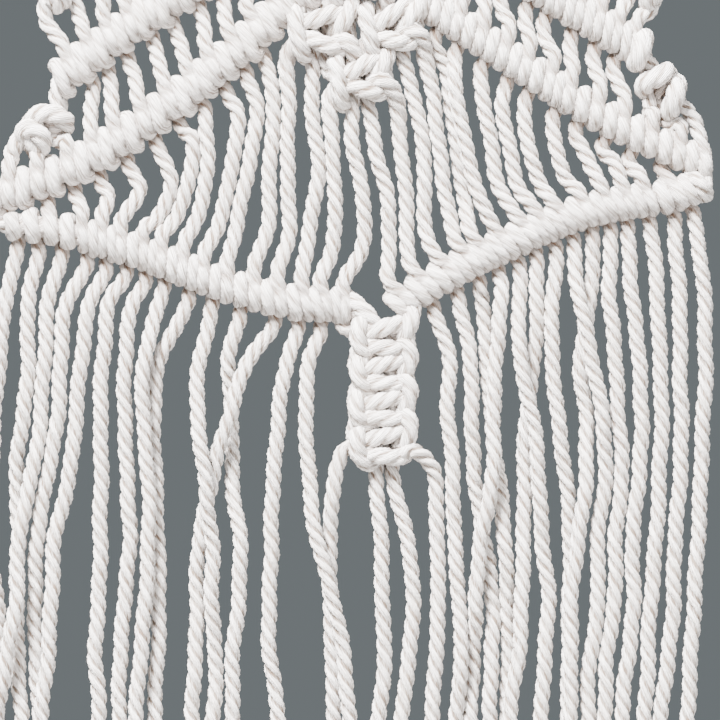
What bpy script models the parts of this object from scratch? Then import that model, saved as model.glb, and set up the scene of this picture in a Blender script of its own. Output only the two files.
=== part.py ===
"""A small macrame wall hanging in natural cotton cord, as it hangs against a wall.

Thirty-two cord ends hang from a heading of lark's head knots. Two rows of double half hitches make
an outer and a main chevron, a diamond of four square knots sits under the main apex, and a third
row, in a wide V, closes the diamond. A square-knot sennit hangs from the V's point and the cord
ends below it are the fringe. X is across, Z is up and -Y is the front. The origin is the middle
of the top edge. Tables are in millimetres, read from the object.
"""

import math
from collections import namedtuple

import bmesh
import bpy
from mathutils import Matrix

MM = 0.001
STAND_UP = Matrix.Rotation(math.radians(90.0), 4, "X")

# ---- driving sizes, in millimetres
CORD = 4.1  # diameter of the twisted cord
STRAND_HALF = 1.85  # half the width of a strand's square section
STRAND_RADIUS = STRAND_HALF * math.sqrt(2.0)  # the same section, measured to its corners
MAIN_BAR = 10.0  # diameter over the hitches of the heading and both chevrons
LOWER_BAR = 9.0  # the V's hitches are pulled tighter
GROOVE = 0.84  # radius between two wraps, as a share of the radius on a wrap
WRAPS_PER_HITCH = 2
HITCHES = 15  # double half hitches on each bar
LARKS_HEADS = 16  # doubled cords on the heading
HEADING_HALF = 74.0
HEADING_Z = -5.0
FRINGE_END = -320.0  # the ends are trimmed straight
GAP = 0.35  # between the panel and the fringe's own row of hitches
PARTING_STEPS = 9
BEHIND = 1.5  # a cord leaves a bar this far behind its middle
IN_FRONT = -1.5  # and comes onto the next bar this far in front
CROSSING_DEPTH = 2.1  # how far each of two crossing cords moves to its own side
CROSSING_RAMP = 9.0
ROOT_CLEAR = 3.0  # below its root, before a fringe cord starts to follow its own table
FEET_NEAREST = 10.4  # x where the innermost heading cords meet the outer chevron
FEET_INSET = 11.5  # from the chevron's end to where the outermost of them meet it
FINE_STEPS = 10  # steps between two stations when a smooth line is measured
# degrees that a section is turned by, a little off square so that no two forms share a plane
SECTION_TURN = {4: 49.0, 6: 11.0}

KNOT_RADIUS = 2.7  # corners of a working cord's section in a square knot
KNOT_DEPTH = 2.8  # from the middle of a knot to the middle of its front crossbar
KNOT_HALF_HEIGHT = 5.5
# the fillers inside a knot: their width as a share of the crossbar's, and their depth of that
Core = namedtuple("Core", "width flat")
KNOT_CORE = Core(0.86, 0.52)
SENNIT_CORE = Core(0.8, 0.55)

# ---- the rows of hitches: stations along each centre line, from the middle outwards
Station = namedtuple("Station", "x z")
Bar = namedtuple("Bar", "name thickness stations")

OUTER_LEFT = Bar("outer_left", MAIN_BAR, [
    Station(1.0, -14.0), Station(-24.0, -29.0), Station(-49.0, -45.0),
    Station(-63.0, -54.5), Station(-71.0, -60.5), Station(-75.5, -64.2),
])
OUTER_RIGHT = Bar("outer_right", MAIN_BAR, [
    Station(-1.0, -14.0), Station(24.0, -29.5), Station(49.0, -45.0),
    Station(59.0, -51.2), Station(66.0, -55.5), Station(71.0, -58.2),
])
MAIN_LEFT = Bar("main_left", MAIN_BAR, [
    Station(1.2, -31.5), Station(-18.5, -45.0), Station(-31.0, -56.8), Station(-46.0, -68.8),
    Station(-61.0, -79.5), Station(-76.0, -88.0), Station(-89.5, -93.2),
])
MAIN_RIGHT = Bar("main_right", MAIN_BAR, [
    Station(-1.2, -31.5), Station(16.5, -46.2), Station(29.0, -54.5), Station(44.0, -64.5),
    Station(59.0, -73.8), Station(74.0, -81.2), Station(85.5, -86.2),
])
LOWER_LEFT = Bar("lower_left", LOWER_BAR, [
    Station(3.5, -125.5), Station(-6.0, -121.5), Station(-16.0, -120.8), Station(-31.0, -117.5),
    Station(-53.5, -109.0), Station(-66.0, -105.0), Station(-78.5, -102.0), Station(-88.5, -100.8),
])
LOWER_RIGHT = Bar("lower_right", LOWER_BAR, [
    Station(4.0, -124.5), Station(16.5, -116.0), Station(34.0, -106.8), Station(54.0, -98.2),
    Station(64.0, -96.0), Station(76.5, -94.0), Station(85.0, -91.2),
])

# ---- cords from the outer chevron down to the main one: x where each leaves, halfway and lands
Drop = namedtuple("Drop", "x_top x_mid x_foot")
OUTER_DROPS = [
    Drop(-68.4, -68.2, -67.8), Drop(-64.5, -63.3, -62.5), Drop(-59.5, -57.3, -56.0),
    Drop(-53.3, -51.5, -49.5), Drop(-48.0, -45.8, -44.0), Drop(-41.5, -40.0, -39.0),
    Drop(-35.8, -34.8, -33.5), Drop(-30.3, -29.3, -28.5), Drop(-24.8, -24.0, -23.3),
    Drop(-19.5, -18.8, -18.0), Drop(-14.5, -13.5, -12.8), Drop(-9.5, -8.3, -7.3),
    Drop(-4.5, -3.6, -2.8), Drop(4.0, 3.4, 2.8),
    Drop(7.8, 7.6, 7.3), Drop(11.8, 11.8, 11.8), Drop(16.0, 15.9, 15.8),
    Drop(20.5, 20.2, 20.0), Drop(25.0, 24.8, 24.5), Drop(30.0, 29.8, 29.5),
    Drop(34.8, 34.5, 35.5), Drop(41.0, 40.3, 40.8), Drop(45.5, 45.3, 46.8),
    Drop(52.3, 51.5, 51.3), Drop(58.0, 57.8, 58.5), Drop(63.0, 63.5, 64.8),
]

# ---- cords across the diamond, from under the main chevron to the V, in quarters of the way.
# z_top is given for those that start at a square knot and is None for those that start at the bar.
Span = namedtuple("Span", "name z_top x_top x_quarter x_half x_three_quarters x_foot")
SPANS = [
    Span("left_11", None, -79.5, -79.3, -79.0, -78.5, -78.3),
    Span("left_10", None, -72.5, -71.0, -69.8, -69.3, -69.3),
    Span("left_09", None, -66.3, -64.5, -64.0, -64.3, -64.8),
    Span("left_08", None, -59.5, -56.5, -56.0, -58.5, -60.3),
    Span("left_07", None, -52.5, -48.3, -48.0, -52.0, -54.5),
    Span("left_06", None, -46.3, -43.4, -43.6, -47.3, -50.2),
    Span("left_05", None, -40.5, -39.4, -39.2, -42.3, -44.8),
    Span("left_04", None, -35.0, -31.3, -33.3, -36.3, -39.8),
    Span("left_03", None, -29.8, -26.9, -28.8, -31.8, -34.0),
    Span("left_02", None, -25.5, -22.8, -23.5, -24.0, -27.3),
    Span("left_01", -55.0, -19.0, -19.0, -19.0, -19.0, -21.0),
    Span("centre_01", -55.0, -12.8, -13.0, -11.5, -13.9, -15.0),
    Span("centre_02", -68.0, -8.3, -8.0, -7.4, -7.8, -10.3),
    Span("centre_03", -68.0, -3.3, -2.8, 0.0, -1.0, -4.8),
    Span("centre_04", -68.0, 1.2, 2.8, 6.0, 6.0, 7.5),
    Span("centre_05", -66.0, 6.0, 8.8, 10.3, 11.0, 13.0),
    Span("centre_06", -55.0, 9.0, 12.8, 15.0, 15.1, 19.0),
    Span("right_01", -53.0, 13.8, 16.9, 19.0, 20.8, 24.3),
    Span("right_02", None, 18.2, 20.6, 22.8, 24.9, 28.0),
    Span("right_03", None, 23.3, 22.8, 24.8, 28.3, 33.0),
    Span("right_04", None, 29.8, 29.3, 31.5, 34.0, 38.8),
    Span("right_05", None, 35.8, 34.5, 36.3, 38.5, 42.8),
    Span("right_06", None, 41.0, 39.3, 41.0, 44.0, 47.3),
    Span("right_07", None, 47.8, 47.5, 48.5, 50.8, 53.5),
    Span("right_08", None, 53.3, 53.8, 55.3, 57.5, 59.3),
    Span("right_09", None, 60.3, 61.0, 62.3, 63.5, 64.3),
    Span("right_10", None, 66.8, 67.5, 68.5, 69.0, 69.3),
    Span("right_11", None, 74.3, 74.8, 75.3, 75.8, 76.0),
]

# ---- the fringe: x of each cord where it leaves the V or the sennit, then at fixed heights
FRINGE_HEIGHTS = (-120.0, -135.0, -150.0, -165.0, -180.0, -195.0, -210.0, -225.0, FRINGE_END)
Fringe = namedtuple("Fringe", "name x_root x120 x135 x150 x165 x180 x195 x210 x225 x_end")
LEFT_FRINGE = [
    Fringe("l14", -86.5, -89.8, -91.0, -92.5, -93.5, -93.5, -92.2, -91.0, -92.0, -90.5),
    Fringe("l13", -81.5, -83.8, -84.0, -85.3, -87.2, -86.5, -87.0, -86.8, -85.5, -85.5),
    Fringe("l12", -75.5, -78.8, -80.0, -80.8, -83.3, -86.0, -86.8, -88.8, -91.8, -92.0),
    Fringe("l11", -69.0, -74.0, -75.8, -76.8, -79.2, -81.8, -82.5, -82.0, -81.5, -79.0),
    Fringe("l10", -64.5, -68.3, -70.5, -72.3, -73.8, -77.3, -78.2, -78.8, -80.5, -81.5),
    Fringe("l09", -59.3, -63.5, -65.3, -65.8, -65.8, -65.8, -66.5, -67.0, -66.3, -67.0),
    Fringe("l08", -54.5, -57.8, -59.5, -59.8, -59.3, -58.3, -60.0, -61.0, -61.0, -61.5),
    Fringe("l07", -49.8, -52.3, -55.0, -54.8, -53.8, -53.8, -54.3, -56.0, -57.0, -57.5),
    Fringe("l06", -43.5, -45.0, -51.0, -52.8, -52.3, -51.5, -51.5, -51.8, -52.3, -52.0),
    Fringe("l05", -37.8, -38.3, -41.0, -41.5, -39.5, -38.0, -38.0, -37.0, -37.8, -38.0),
    Fringe("l04", -30.8, -31.0, -33.8, -33.3, -33.0, -31.0, -31.5, -32.7, -32.8, -33.5),
    Fringe("l03", -22.3, -22.3, -28.8, -34.0, -38.0, -41.3, -41.8, -42.3, -42.8, -43.0),
    Fringe("l02", -16.5, -16.8, -19.3, -21.3, -22.8, -23.0, -23.8, -23.3, -21.5, -21.0),
    Fringe("l01", -11.0, -11.3, -13.5, -14.5, -13.8, -11.5, -7.8, -4.8, -3.8, -3.5),
]
RIGHT_FRINGE = [
    Fringe("r01", 17.0, 18.3, 21.3, 21.0, 22.3, 22.7, 23.6, 24.5, 22.6, 22.0),
    Fringe("r02", 23.0, 25.5, 26.8, 26.8, 27.8, 30.3, 32.0, 32.0, 31.5, 31.0),
    Fringe("r03", 28.5, 29.8, 30.8, 31.8, 34.0, 35.0, 36.0, 36.0, 35.8, 36.0),
    Fringe("r04", 33.3, 34.0, 33.0, 32.3, 31.8, 29.3, 27.9, 27.3, 26.8, 26.5),
    Fringe("r05", 38.3, 39.0, 39.0, 42.0, 43.8, 44.5, 46.0, 45.3, 44.3, 44.0),
    Fringe("r06", 42.8, 43.3, 42.5, 40.8, 39.9, 40.0, 39.3, 38.3, 36.5, 38.0),
    Fringe("r07", 47.5, 47.3, 47.0, 48.5, 50.8, 51.5, 51.5, 51.3, 50.8, 49.5),
    Fringe("r08", 52.0, 53.8, 56.8, 59.8, 60.1, 58.5, 58.5, 56.5, 56.1, 56.0),
    Fringe("r09", 57.0, 56.8, 54.0, 55.8, 55.3, 53.3, 51.8, 51.5, 51.3, 51.8),
    Fringe("r10", 61.5, 61.5, 62.8, 63.8, 64.3, 63.0, 62.5, 60.8, 60.1, 60.3),
    Fringe("r11", 66.0, 67.0, 68.8, 69.5, 68.5, 67.3, 67.3, 66.0, 64.5, 65.0),
    Fringe("r12", 71.5, 73.5, 74.0, 74.3, 74.0, 72.8, 71.8, 71.0, 70.0, 69.5),
    Fringe("r13", 77.5, 78.8, 79.0, 79.5, 78.8, 77.8, 77.5, 75.8, 74.3, 74.5),
    Fringe("r14", 82.0, 85.3, 85.3, 84.8, 84.3, 83.3, 82.8, 81.5, 81.0, 80.0),
]
Tail = namedtuple("Tail", "name x_root z_root x_bend z_bend x165 x180 x195 x210 x225 x_end")
TAILS = [
    Tail("tail_left", -2.6, -157.0, -7.2, -160.5, -7.9, -8.0, -8.5, -7.9, -7.5, -8.5),
    Tail("filler_left", 2.6, -158.0, 2.9, -162.0, 3.2, 4.5, 4.5, 5.3, 3.5, 3.0),
    Tail("filler_right", 7.0, -158.0, 7.0, -162.0, 7.5, 11.3, 12.3, 11.3, 9.3, 9.0),
    Tail("tail_right", 12.4, -157.0, 16.6, -160.5, 17.8, 18.2, 18.5, 18.0, 17.0, 16.5),
]

# ---- where one cord lies over its neighbour
Crossing = namedtuple("Crossing", "over under z_from z_to")
CROSSINGS = [
    Crossing("right_03", "right_02", -57.0, -96.0),
    Crossing("l12", "l13", -164.0, -216.0),
    Crossing("l12", "l14", -198.0, -340.0),
    Crossing("l10", "l11", -196.0, -340.0),
    Crossing("l07", "l06", -134.0, -340.0),
    Crossing("l03", "l04", -138.0, -163.0),
    Crossing("l05", "l04", -150.0, -163.0),
    Crossing("l05", "l03", -156.0, -200.0),
    Crossing("l01", "tail_left", -176.0, -340.0),
    Crossing("r04", "r03", -119.0, -171.0),
    Crossing("r04", "r02", -167.0, -193.0),
    Crossing("r01", "r04", -203.0, -219.0),
    Crossing("r06", "r03", -196.0, -340.0),
    Crossing("r05", "r06", -133.0, -166.0),
    Crossing("r08", "r09", -114.0, -148.0),
    Crossing("r09", "r07", -168.0, -340.0),
]

# ---- square knots of the diamond, and the sennit of four more
Knot = namedtuple("Knot", "name x z width lean")
DIAMOND_KNOTS = [
    Knot("knot_top", -1.8, -40.0, 17.2, 2.8),
    Knot("knot_left", -10.3, -53.0, 17.5, 3.0),
    Knot("knot_right", 7.3, -52.5, 17.0, 3.0),
    Knot("knot_foot", -0.5, -65.3, 15.6, 3.0),
]
# the cords that go on from one of these knots to the next
Link = namedtuple("Link", "x_top z_top x_foot z_foot")
LINKS = [
    Link(-5.6, -43.5, -8.2, -50.0), Link(1.6, -43.5, 5.4, -49.5),
    Link(-6.8, -56.0, -4.6, -62.5), Link(4.2, -55.5, 3.4, -62.0),
]
HALF_KNOT_PITCH = 5.6
SENNIT_X = 4.8
SENNIT_TOP = -127.6
SENNIT_PITCH = 4.4
SENNIT_HALF_KNOTS = 8
SENNIT_WIDTH = 16.8
SENNIT_LEAN = 1.9  # every second crossbar slants more, and its loops stand out further
SENNIT_SWELL = 0.35
SENNIT_HEAD = 3.0  # the fillers reach this far above the first half knot
SENNIT_FOOT = 1.5  # and this far below the last

# ---- hand-tied knots on the outermost cords: two fat wraps each, as (x, z) ends and half width
Wrap = namedtuple("Wrap", "x1 z1 x2 z2 radius")
SIDE_WRAPS = [
    Wrap(-82.8, -76.6, -73.2, -72.8, 4.0), Wrap(-84.6, -82.8, -80.2, -76.6, 3.8),
    Wrap(69.8, -67.2, 76.4, -62.4, 4.2), Wrap(75.2, -66.6, 79.6, -73.0, 3.8),
    Wrap(-78.6, -42.6, -70.8, -40.2, 3.9), Wrap(64.4, -37.6, 72.4, -40.4, 3.9),
]
WRAP_TAPER = 0.7  # a wrap's ends, as a share of its middle
# ---- the outermost cords, which pass through those knots: where each starts, bends and ends
SideCord = namedtuple("SideCord", "x_top y_top z_top x_mid y_mid z_mid x_foot y_foot z_foot")
SIDE_CORDS = [
    SideCord(-71.7, 0.0, -6.0, -74.6, 0.0, -22.0, -76.6, 0.0, -40.5),
    SideCord(-67.1, 0.0, -6.0, -70.2, 0.0, -22.0, -72.4, 0.0, -39.5),
    SideCord(-77.2, 0.0, -42.5, -78.0, 0.0, -52.0, -74.5, -0.5, -62.5),
    SideCord(-71.6, 0.0, -41.5, -69.8, 0.0, -50.0, -68.5, -0.5, -58.0),
    SideCord(71.7, 0.0, -6.0, 70.8, 0.0, -24.0, 70.2, 0.0, -38.5),
    SideCord(67.1, 0.0, -6.0, 66.4, 0.0, -24.0, 66.0, 0.0, -37.5),
    SideCord(70.8, 0.0, -39.5, 70.6, 0.0, -48.0, 69.4, -0.5, -56.0),
    SideCord(66.2, 0.0, -38.5, 65.0, 0.0, -46.5, 64.4, -0.5, -53.0),
    SideCord(-75.5, -0.5, -63.5, -77.0, -1.6, -69.0, -76.6, -2.0, -73.4),
    SideCord(-72.2, 1.5, -61.5, -73.4, 2.2, -69.0, -74.8, 1.8, -73.4),
    SideCord(-84.0, 0.0, -79.0, -88.6, 0.0, -85.0, -88.8, 0.0, -92.0),
    SideCord(-77.6, 0.0, -74.6, -76.4, 0.0, -80.4, -73.5, 0.0, -86.0),
    SideCord(-82.6, 1.2, -81.0, -81.6, 1.2, -86.0, -81.5, 0.5, -90.0),
    SideCord(71.0, -0.5, -57.5, 71.6, -1.6, -63.0, 72.2, -2.0, -66.0),
    SideCord(67.5, 1.5, -56.0, 68.6, 2.2, -61.5, 70.8, 1.8, -65.5),
    SideCord(72.2, 0.0, -65.5, 71.3, 0.0, -70.0, 70.8, 0.0, -80.0),
    SideCord(76.4, 0.5, -70.0, 76.2, 0.8, -76.0, 78.2, 0.0, -83.0),
    SideCord(78.8, 0.0, -69.0, 83.2, 0.0, -75.0, 84.5, 0.0, -84.5),
]

COTTON = (0.80, 0.76, 0.69, 1.0)
FRINGE_COTTON = (0.82, 0.78, 0.71, 1.0)


# ---- the scene
def clear_scene():
    for old in list(bpy.data.objects):
        bpy.data.objects.remove(old, do_unlink=True)


def new_collection(name, hidden):
    made = bpy.data.collections.new(name)
    made.hide_render = hidden
    bpy.context.scene.collection.children.link(made)
    return made


def cotton(name, color):
    made = bpy.data.materials.new(name)
    made.use_nodes = True
    made.diffuse_color = color
    shader = made.node_tree.nodes["Principled BSDF"]
    shader.inputs["Base Color"].default_value = color
    shader.inputs["Roughness"].default_value = 0.9
    shader.inputs["Metallic"].default_value = 0.0
    return made


# ---- lines
def smooth_line(stations, steps):
    """Points on a Catmull-Rom curve through the stations, evenly spaced along it."""
    ends = [stations[0], *stations, stations[-1]]
    fine = []
    for a, b, c, d in zip(ends, ends[1:], ends[2:], ends[3:]):
        for i in range(FINE_STEPS):
            t = i / FINE_STEPS
            fine.append([
                0.5 * (2 * q + (r - p) * t + (2 * p - 5 * q + 4 * r - s) * t * t
                       + (3 * q - p - 3 * r + s) * t ** 3)
                for p, q, r, s in zip(a, b, c, d)
            ])
    fine.append(list(stations[-1]))
    reach = [0.0]
    for p, q in zip(fine, fine[1:]):
        reach.append(reach[-1] + math.dist(p, q))
    points = []
    at = 0
    for i in range(steps + 1):
        wanted = reach[-1] * i / steps
        while at < len(fine) - 2 and reach[at + 1] < wanted:
            at += 1
        share = (wanted - reach[at]) / (reach[at + 1] - reach[at])
        points.append([p + (q - p) * share for p, q in zip(fine[at], fine[at + 1])])
    return points


def height_on(bars, x):
    """The z of the first of these bars' centre line that passes this x."""
    for bar in bars:
        for a, b in zip(bar.stations, bar.stations[1:]):
            low, high = sorted((a, b))
            if low.x <= x <= high.x:
                return low.z + (high.z - low.z) * (x - low.x) / (high.x - low.x)
    raise ValueError(f"no bar passes x = {x}")


def bars_beside(x, left, right):
    return (left, right) if x < 0 else (right, left)


def crossing_depth(name, z):
    """How far a cord stands in front (negative) or behind where it crosses a neighbour."""
    depth = 0.0
    for crossing in CROSSINGS:
        if name not in (crossing.over, crossing.under):
            continue
        inside = min(crossing.z_from - z, z - crossing.z_to)
        share = min(max(1.0 + inside / CROSSING_RAMP, 0.0), 1.0)
        share = share * share * (3.0 - 2.0 * share)
        depth += CROSSING_DEPTH * share * (-1.0 if name == crossing.over else 1.0)
    return max(-2.0 * CROSSING_DEPTH, min(2.0 * CROSSING_DEPTH, depth))


# ---- solids
def tube(name, points, radii, sides, into, cyclic=False, flatten=1.0):
    """A closed mesh along points in millimetres, with a radius at each, joined later by a union.

    The curve is drawn lying down, where its up direction stands for the hanging's depth, so that
    every four-sided strand keeps a flat side to the front, and the mesh is then stood up.
    """
    data = bpy.data.curves.new(name, "CURVE")
    data.dimensions = "3D"
    data.twist_mode = "MINIMUM" if cyclic else "Z_UP"
    data.bevel_depth = MM
    data.bevel_resolution = (sides - 4) // 2
    data.use_fill_caps = not cyclic
    spline = data.splines.new("POLY")
    spline.points.add(len(points) - 1)
    spline.use_cyclic_u = cyclic
    for point, (x, y, z), radius in zip(spline.points, points, radii):
        point.co = (x * MM, z * MM, -y * MM, 1.0)
        point.radius = radius
        point.tilt = math.radians(SECTION_TURN[sides])
    guide = bpy.data.objects.new(name + "_guide", data)
    bpy.context.scene.collection.objects.link(guide)
    graph = bpy.context.evaluated_depsgraph_get()
    mesh = bpy.data.meshes.new_from_object(guide.evaluated_get(graph))
    mesh.transform(STAND_UP)
    bpy.data.objects.remove(guide, do_unlink=True)
    cage = bmesh.new()
    cage.from_mesh(mesh)
    bmesh.ops.remove_doubles(cage, verts=cage.verts, dist=1e-6)
    for vertex in cage.verts:
        vertex.co.y *= flatten
    bmesh.ops.recalc_face_normals(cage, faces=cage.faces)
    cage.to_mesh(mesh)
    cage.free()
    made = bpy.data.objects.new(name, mesh)
    into.objects.link(made)
    if into.hide_render:
        made.hide_render = True
        made.display_type = "WIRE"
    return made


def strand(name, points, into):
    return tube(name, points, [STRAND_RADIUS] * len(points), 4, into)


def ridged_bar(name, stations, thickness, wraps, into):
    """A row of hitches: a bar with a ridge for each wrap."""
    line = smooth_line(stations, 2 * wraps)
    crest = thickness / 2
    radii = [crest * (1.0 if i % 2 else GROOVE) for i in range(len(line))]
    return tube(name, [(x, 0.0, z) for x, z in line], radii, 6, into)


def half_knot(name, x, z, half_width, lean, into):
    """One crossing of the working cords: a ring round the fillers, leaning down at the back."""
    ring = []
    for i in range(8):
        turn = math.tau * (i + 0.5) / 8
        across = math.cos(turn)
        front = -math.sin(turn)
        ring.append((x + half_width * across, KNOT_DEPTH * front, z - lean / 2 * across * front))
    return tube(name, ring, [KNOT_RADIUS] * 8, 4, into, cyclic=True)


def knot_core(name, x, z_top, z_low, half_width, core, into):
    radius = half_width * core.width
    places = [(x, 0.0, z_top), (x, 0.0, (z_top + z_low) / 2), (x, 0.0, z_low)]
    return tube(name, places, [radius] * 3, 6, into, flatten=core.flat)


def square_knot(knot, into):
    half_width = knot.width / 2 - CORD / 2
    half_step = HALF_KNOT_PITCH / 2
    top = knot.z + KNOT_HALF_HEIGHT
    half_knot(knot.name + "_a", knot.x, knot.z + half_step, half_width, knot.lean, into)
    half_knot(knot.name + "_b", knot.x, knot.z - half_step, half_width, -knot.lean, into)
    low = knot.z - KNOT_HALF_HEIGHT
    knot_core(knot.name, knot.x, top, low, half_width, KNOT_CORE, into)


def heading(into):
    """Sixteen lark's heads side by side on the mounting cord: two wraps each."""
    ends = [Station(-HEADING_HALF, HEADING_Z), Station(0.0, HEADING_Z),
            Station(HEADING_HALF, HEADING_Z)]
    return ridged_bar("heading", ends, MAIN_BAR, 2 * LARKS_HEADS, into)


def heading_cords(into):
    """Straight cords from the lark's heads to the outer chevron; side knots hold the last two."""
    pitch = HEADING_HALF / LARKS_HEADS
    straight = range(2, LARKS_HEADS - 1)
    for side in (-1, 1):
        bars = bars_beside(side, OUTER_LEFT, OUTER_RIGHT)
        farthest = abs(bars[0].stations[-1].x) - FEET_INSET
        for i in straight:
            share = (straight[-1] - i) / (len(straight) - 1)
            x_top = side * (HEADING_HALF - pitch * (i + 0.5))
            x_foot = side * (FEET_NEAREST + (farthest - FEET_NEAREST) * share)
            places = [(x_top, 0.0, HEADING_Z), (x_foot, IN_FRONT, height_on(bars, x_foot))]
            strand(f"heading_cord_{side}_{i}", places, into)


def outer_cords(into):
    for i, drop in enumerate(OUTER_DROPS):
        top = height_on(bars_beside(drop.x_top, OUTER_LEFT, OUTER_RIGHT), drop.x_top)
        foot = height_on(bars_beside(drop.x_foot, MAIN_LEFT, MAIN_RIGHT), drop.x_foot)
        places = [(drop.x_top, BEHIND, top), (drop.x_mid, 0.0, (top + foot) / 2),
                  (drop.x_foot, IN_FRONT, foot)]
        strand(f"outer_cord_{i}", places, into)


def diamond_cords(into):
    for span in SPANS:
        top = span.z_top
        if top is None:
            top = height_on(bars_beside(span.x_top, MAIN_LEFT, MAIN_RIGHT), span.x_top)
        foot = height_on(bars_beside(span.x_foot, LOWER_LEFT, LOWER_RIGHT), span.x_foot)
        across = span[2:]
        places = []
        for i, x in enumerate(across):
            share = i / (len(across) - 1)
            z = top + (foot - top) * share
            y = BEHIND + (IN_FRONT - BEHIND) * share
            places.append((x, y + crossing_depth(span.name, z), z))
        strand(span.name, places, into)


def side_cords(into):
    for i, cord in enumerate(SIDE_CORDS):
        strand(f"side_cord_{i}", [cord[0:3], cord[3:6], cord[6:9]], into)
    for i, wrap in enumerate(SIDE_WRAPS):
        middle = ((wrap.x1 + wrap.x2) / 2, 0.0, (wrap.z1 + wrap.z2) / 2)
        places = [(wrap.x1, 0.0, wrap.z1), middle, (wrap.x2, 0.0, wrap.z2)]
        narrow = wrap.radius * WRAP_TAPER
        tube(f"side_wrap_{i}", places, [narrow, wrap.radius, narrow], 6, into)


def fringe_cords(into):
    for row, bars in ((LEFT_FRINGE, (LOWER_LEFT,)), (RIGHT_FRINGE, (LOWER_RIGHT,))):
        for cord in row:
            root = height_on(bars, cord.x_root)
            places = [(cord.x_root, BEHIND, root)]
            for x, z in zip(cord[2:], FRINGE_HEIGHTS):
                if z < root - ROOT_CLEAR:
                    places.append((x, crossing_depth(cord.name, z), z))
            strand(cord.name, places, into)
    for tail in TAILS:
        places = [(tail.x_root, 0.0, tail.z_root), (tail.x_bend, 0.0, tail.z_bend)]
        for x, z in zip(tail[5:], FRINGE_HEIGHTS[3:]):
            places.append((x, crossing_depth(tail.name, z), z))
        strand(tail.name, places, into)


def sennit(into):
    half_width = SENNIT_WIDTH / 2 - CORD / 2
    for i in range(SENNIT_HALF_KNOTS):
        z = SENNIT_TOP - SENNIT_PITCH * i
        lean = SENNIT_LEAN if i % 2 else -SENNIT_LEAN / 2
        half_knot(f"sennit_{i}", SENNIT_X, z, half_width + SENNIT_SWELL * (i % 2), lean, into)
    low = SENNIT_TOP - SENNIT_PITCH * (SENNIT_HALF_KNOTS - 1)
    top = SENNIT_TOP + SENNIT_HEAD
    knot_core("sennit", SENNIT_X, top, low - SENNIT_FOOT, half_width, SENNIT_CORE, into)


def fuse(base, forms):
    union = base.modifiers.new("fused", "BOOLEAN")
    union.operation = "UNION"
    union.solver = "EXACT"
    union.operand_type = "COLLECTION"
    union.collection = forms


def build():
    clear_scene()
    hanging = new_collection("macrame_wall_hanging", False)
    panel_forms = new_collection("panel_forms", True)
    fringe_forms = new_collection("fringe_forms", True)
    parting = new_collection("parting", True)

    wraps = HITCHES * WRAPS_PER_HITCH
    panel = heading(hanging)
    panel.name = "knotted_panel"
    for bar in (OUTER_LEFT, OUTER_RIGHT, MAIN_LEFT, MAIN_RIGHT):
        ridged_bar(bar.name, bar.stations, bar.thickness, wraps, panel_forms)
    heading_cords(panel_forms)
    outer_cords(panel_forms)
    diamond_cords(panel_forms)
    side_cords(panel_forms)
    for knot in DIAMOND_KNOTS:
        square_knot(knot, panel_forms)
    for i, link in enumerate(LINKS):
        places = [(link.x_top, 0.0, link.z_top), (link.x_foot, 0.0, link.z_foot)]
        strand(f"link_{i}", places, panel_forms)
    fuse(panel, panel_forms)

    fringe = ridged_bar("fringe", LOWER_LEFT.stations, LOWER_BAR, wraps, hanging)
    ridged_bar(LOWER_RIGHT.name, LOWER_RIGHT.stations, LOWER_BAR, wraps, fringe_forms)
    sennit(fringe_forms)
    fringe_cords(fringe_forms)
    fuse(fringe, fringe_forms)

    for bar in (LOWER_LEFT, LOWER_RIGHT):
        line = [(x, 0.0, z) for x, z in smooth_line(bar.stations, PARTING_STEPS)]
        radii = [LOWER_BAR / 2 + GAP] * len(line)
        tube(bar.name + "_parting", line, radii, 6, parting)
    cut = panel.modifiers.new("parted", "BOOLEAN")
    cut.operation = "DIFFERENCE"
    cut.solver = "EXACT"
    cut.operand_type = "COLLECTION"
    cut.collection = parting

    panel.data.materials.append(cotton("knotted_cotton", COTTON))
    fringe.data.materials.append(cotton("fringe_cotton", FRINGE_COTTON))


build()
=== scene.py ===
# %% [markdown]
# # A macrame wall hanging in natural three-ply cotton cord
#
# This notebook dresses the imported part. The solids in the frame are plain: square strands and ridged bars.
# Here every cord becomes what it is on the real hanging, a rope of three plies laid round each other.
# Each cord is followed through its knots, so that the loops that show are the loops that hold.
# Work in millimetres here, as a maker would, and turn to metres only where a mesh is made.

import math
import random
from collections import namedtuple

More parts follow.
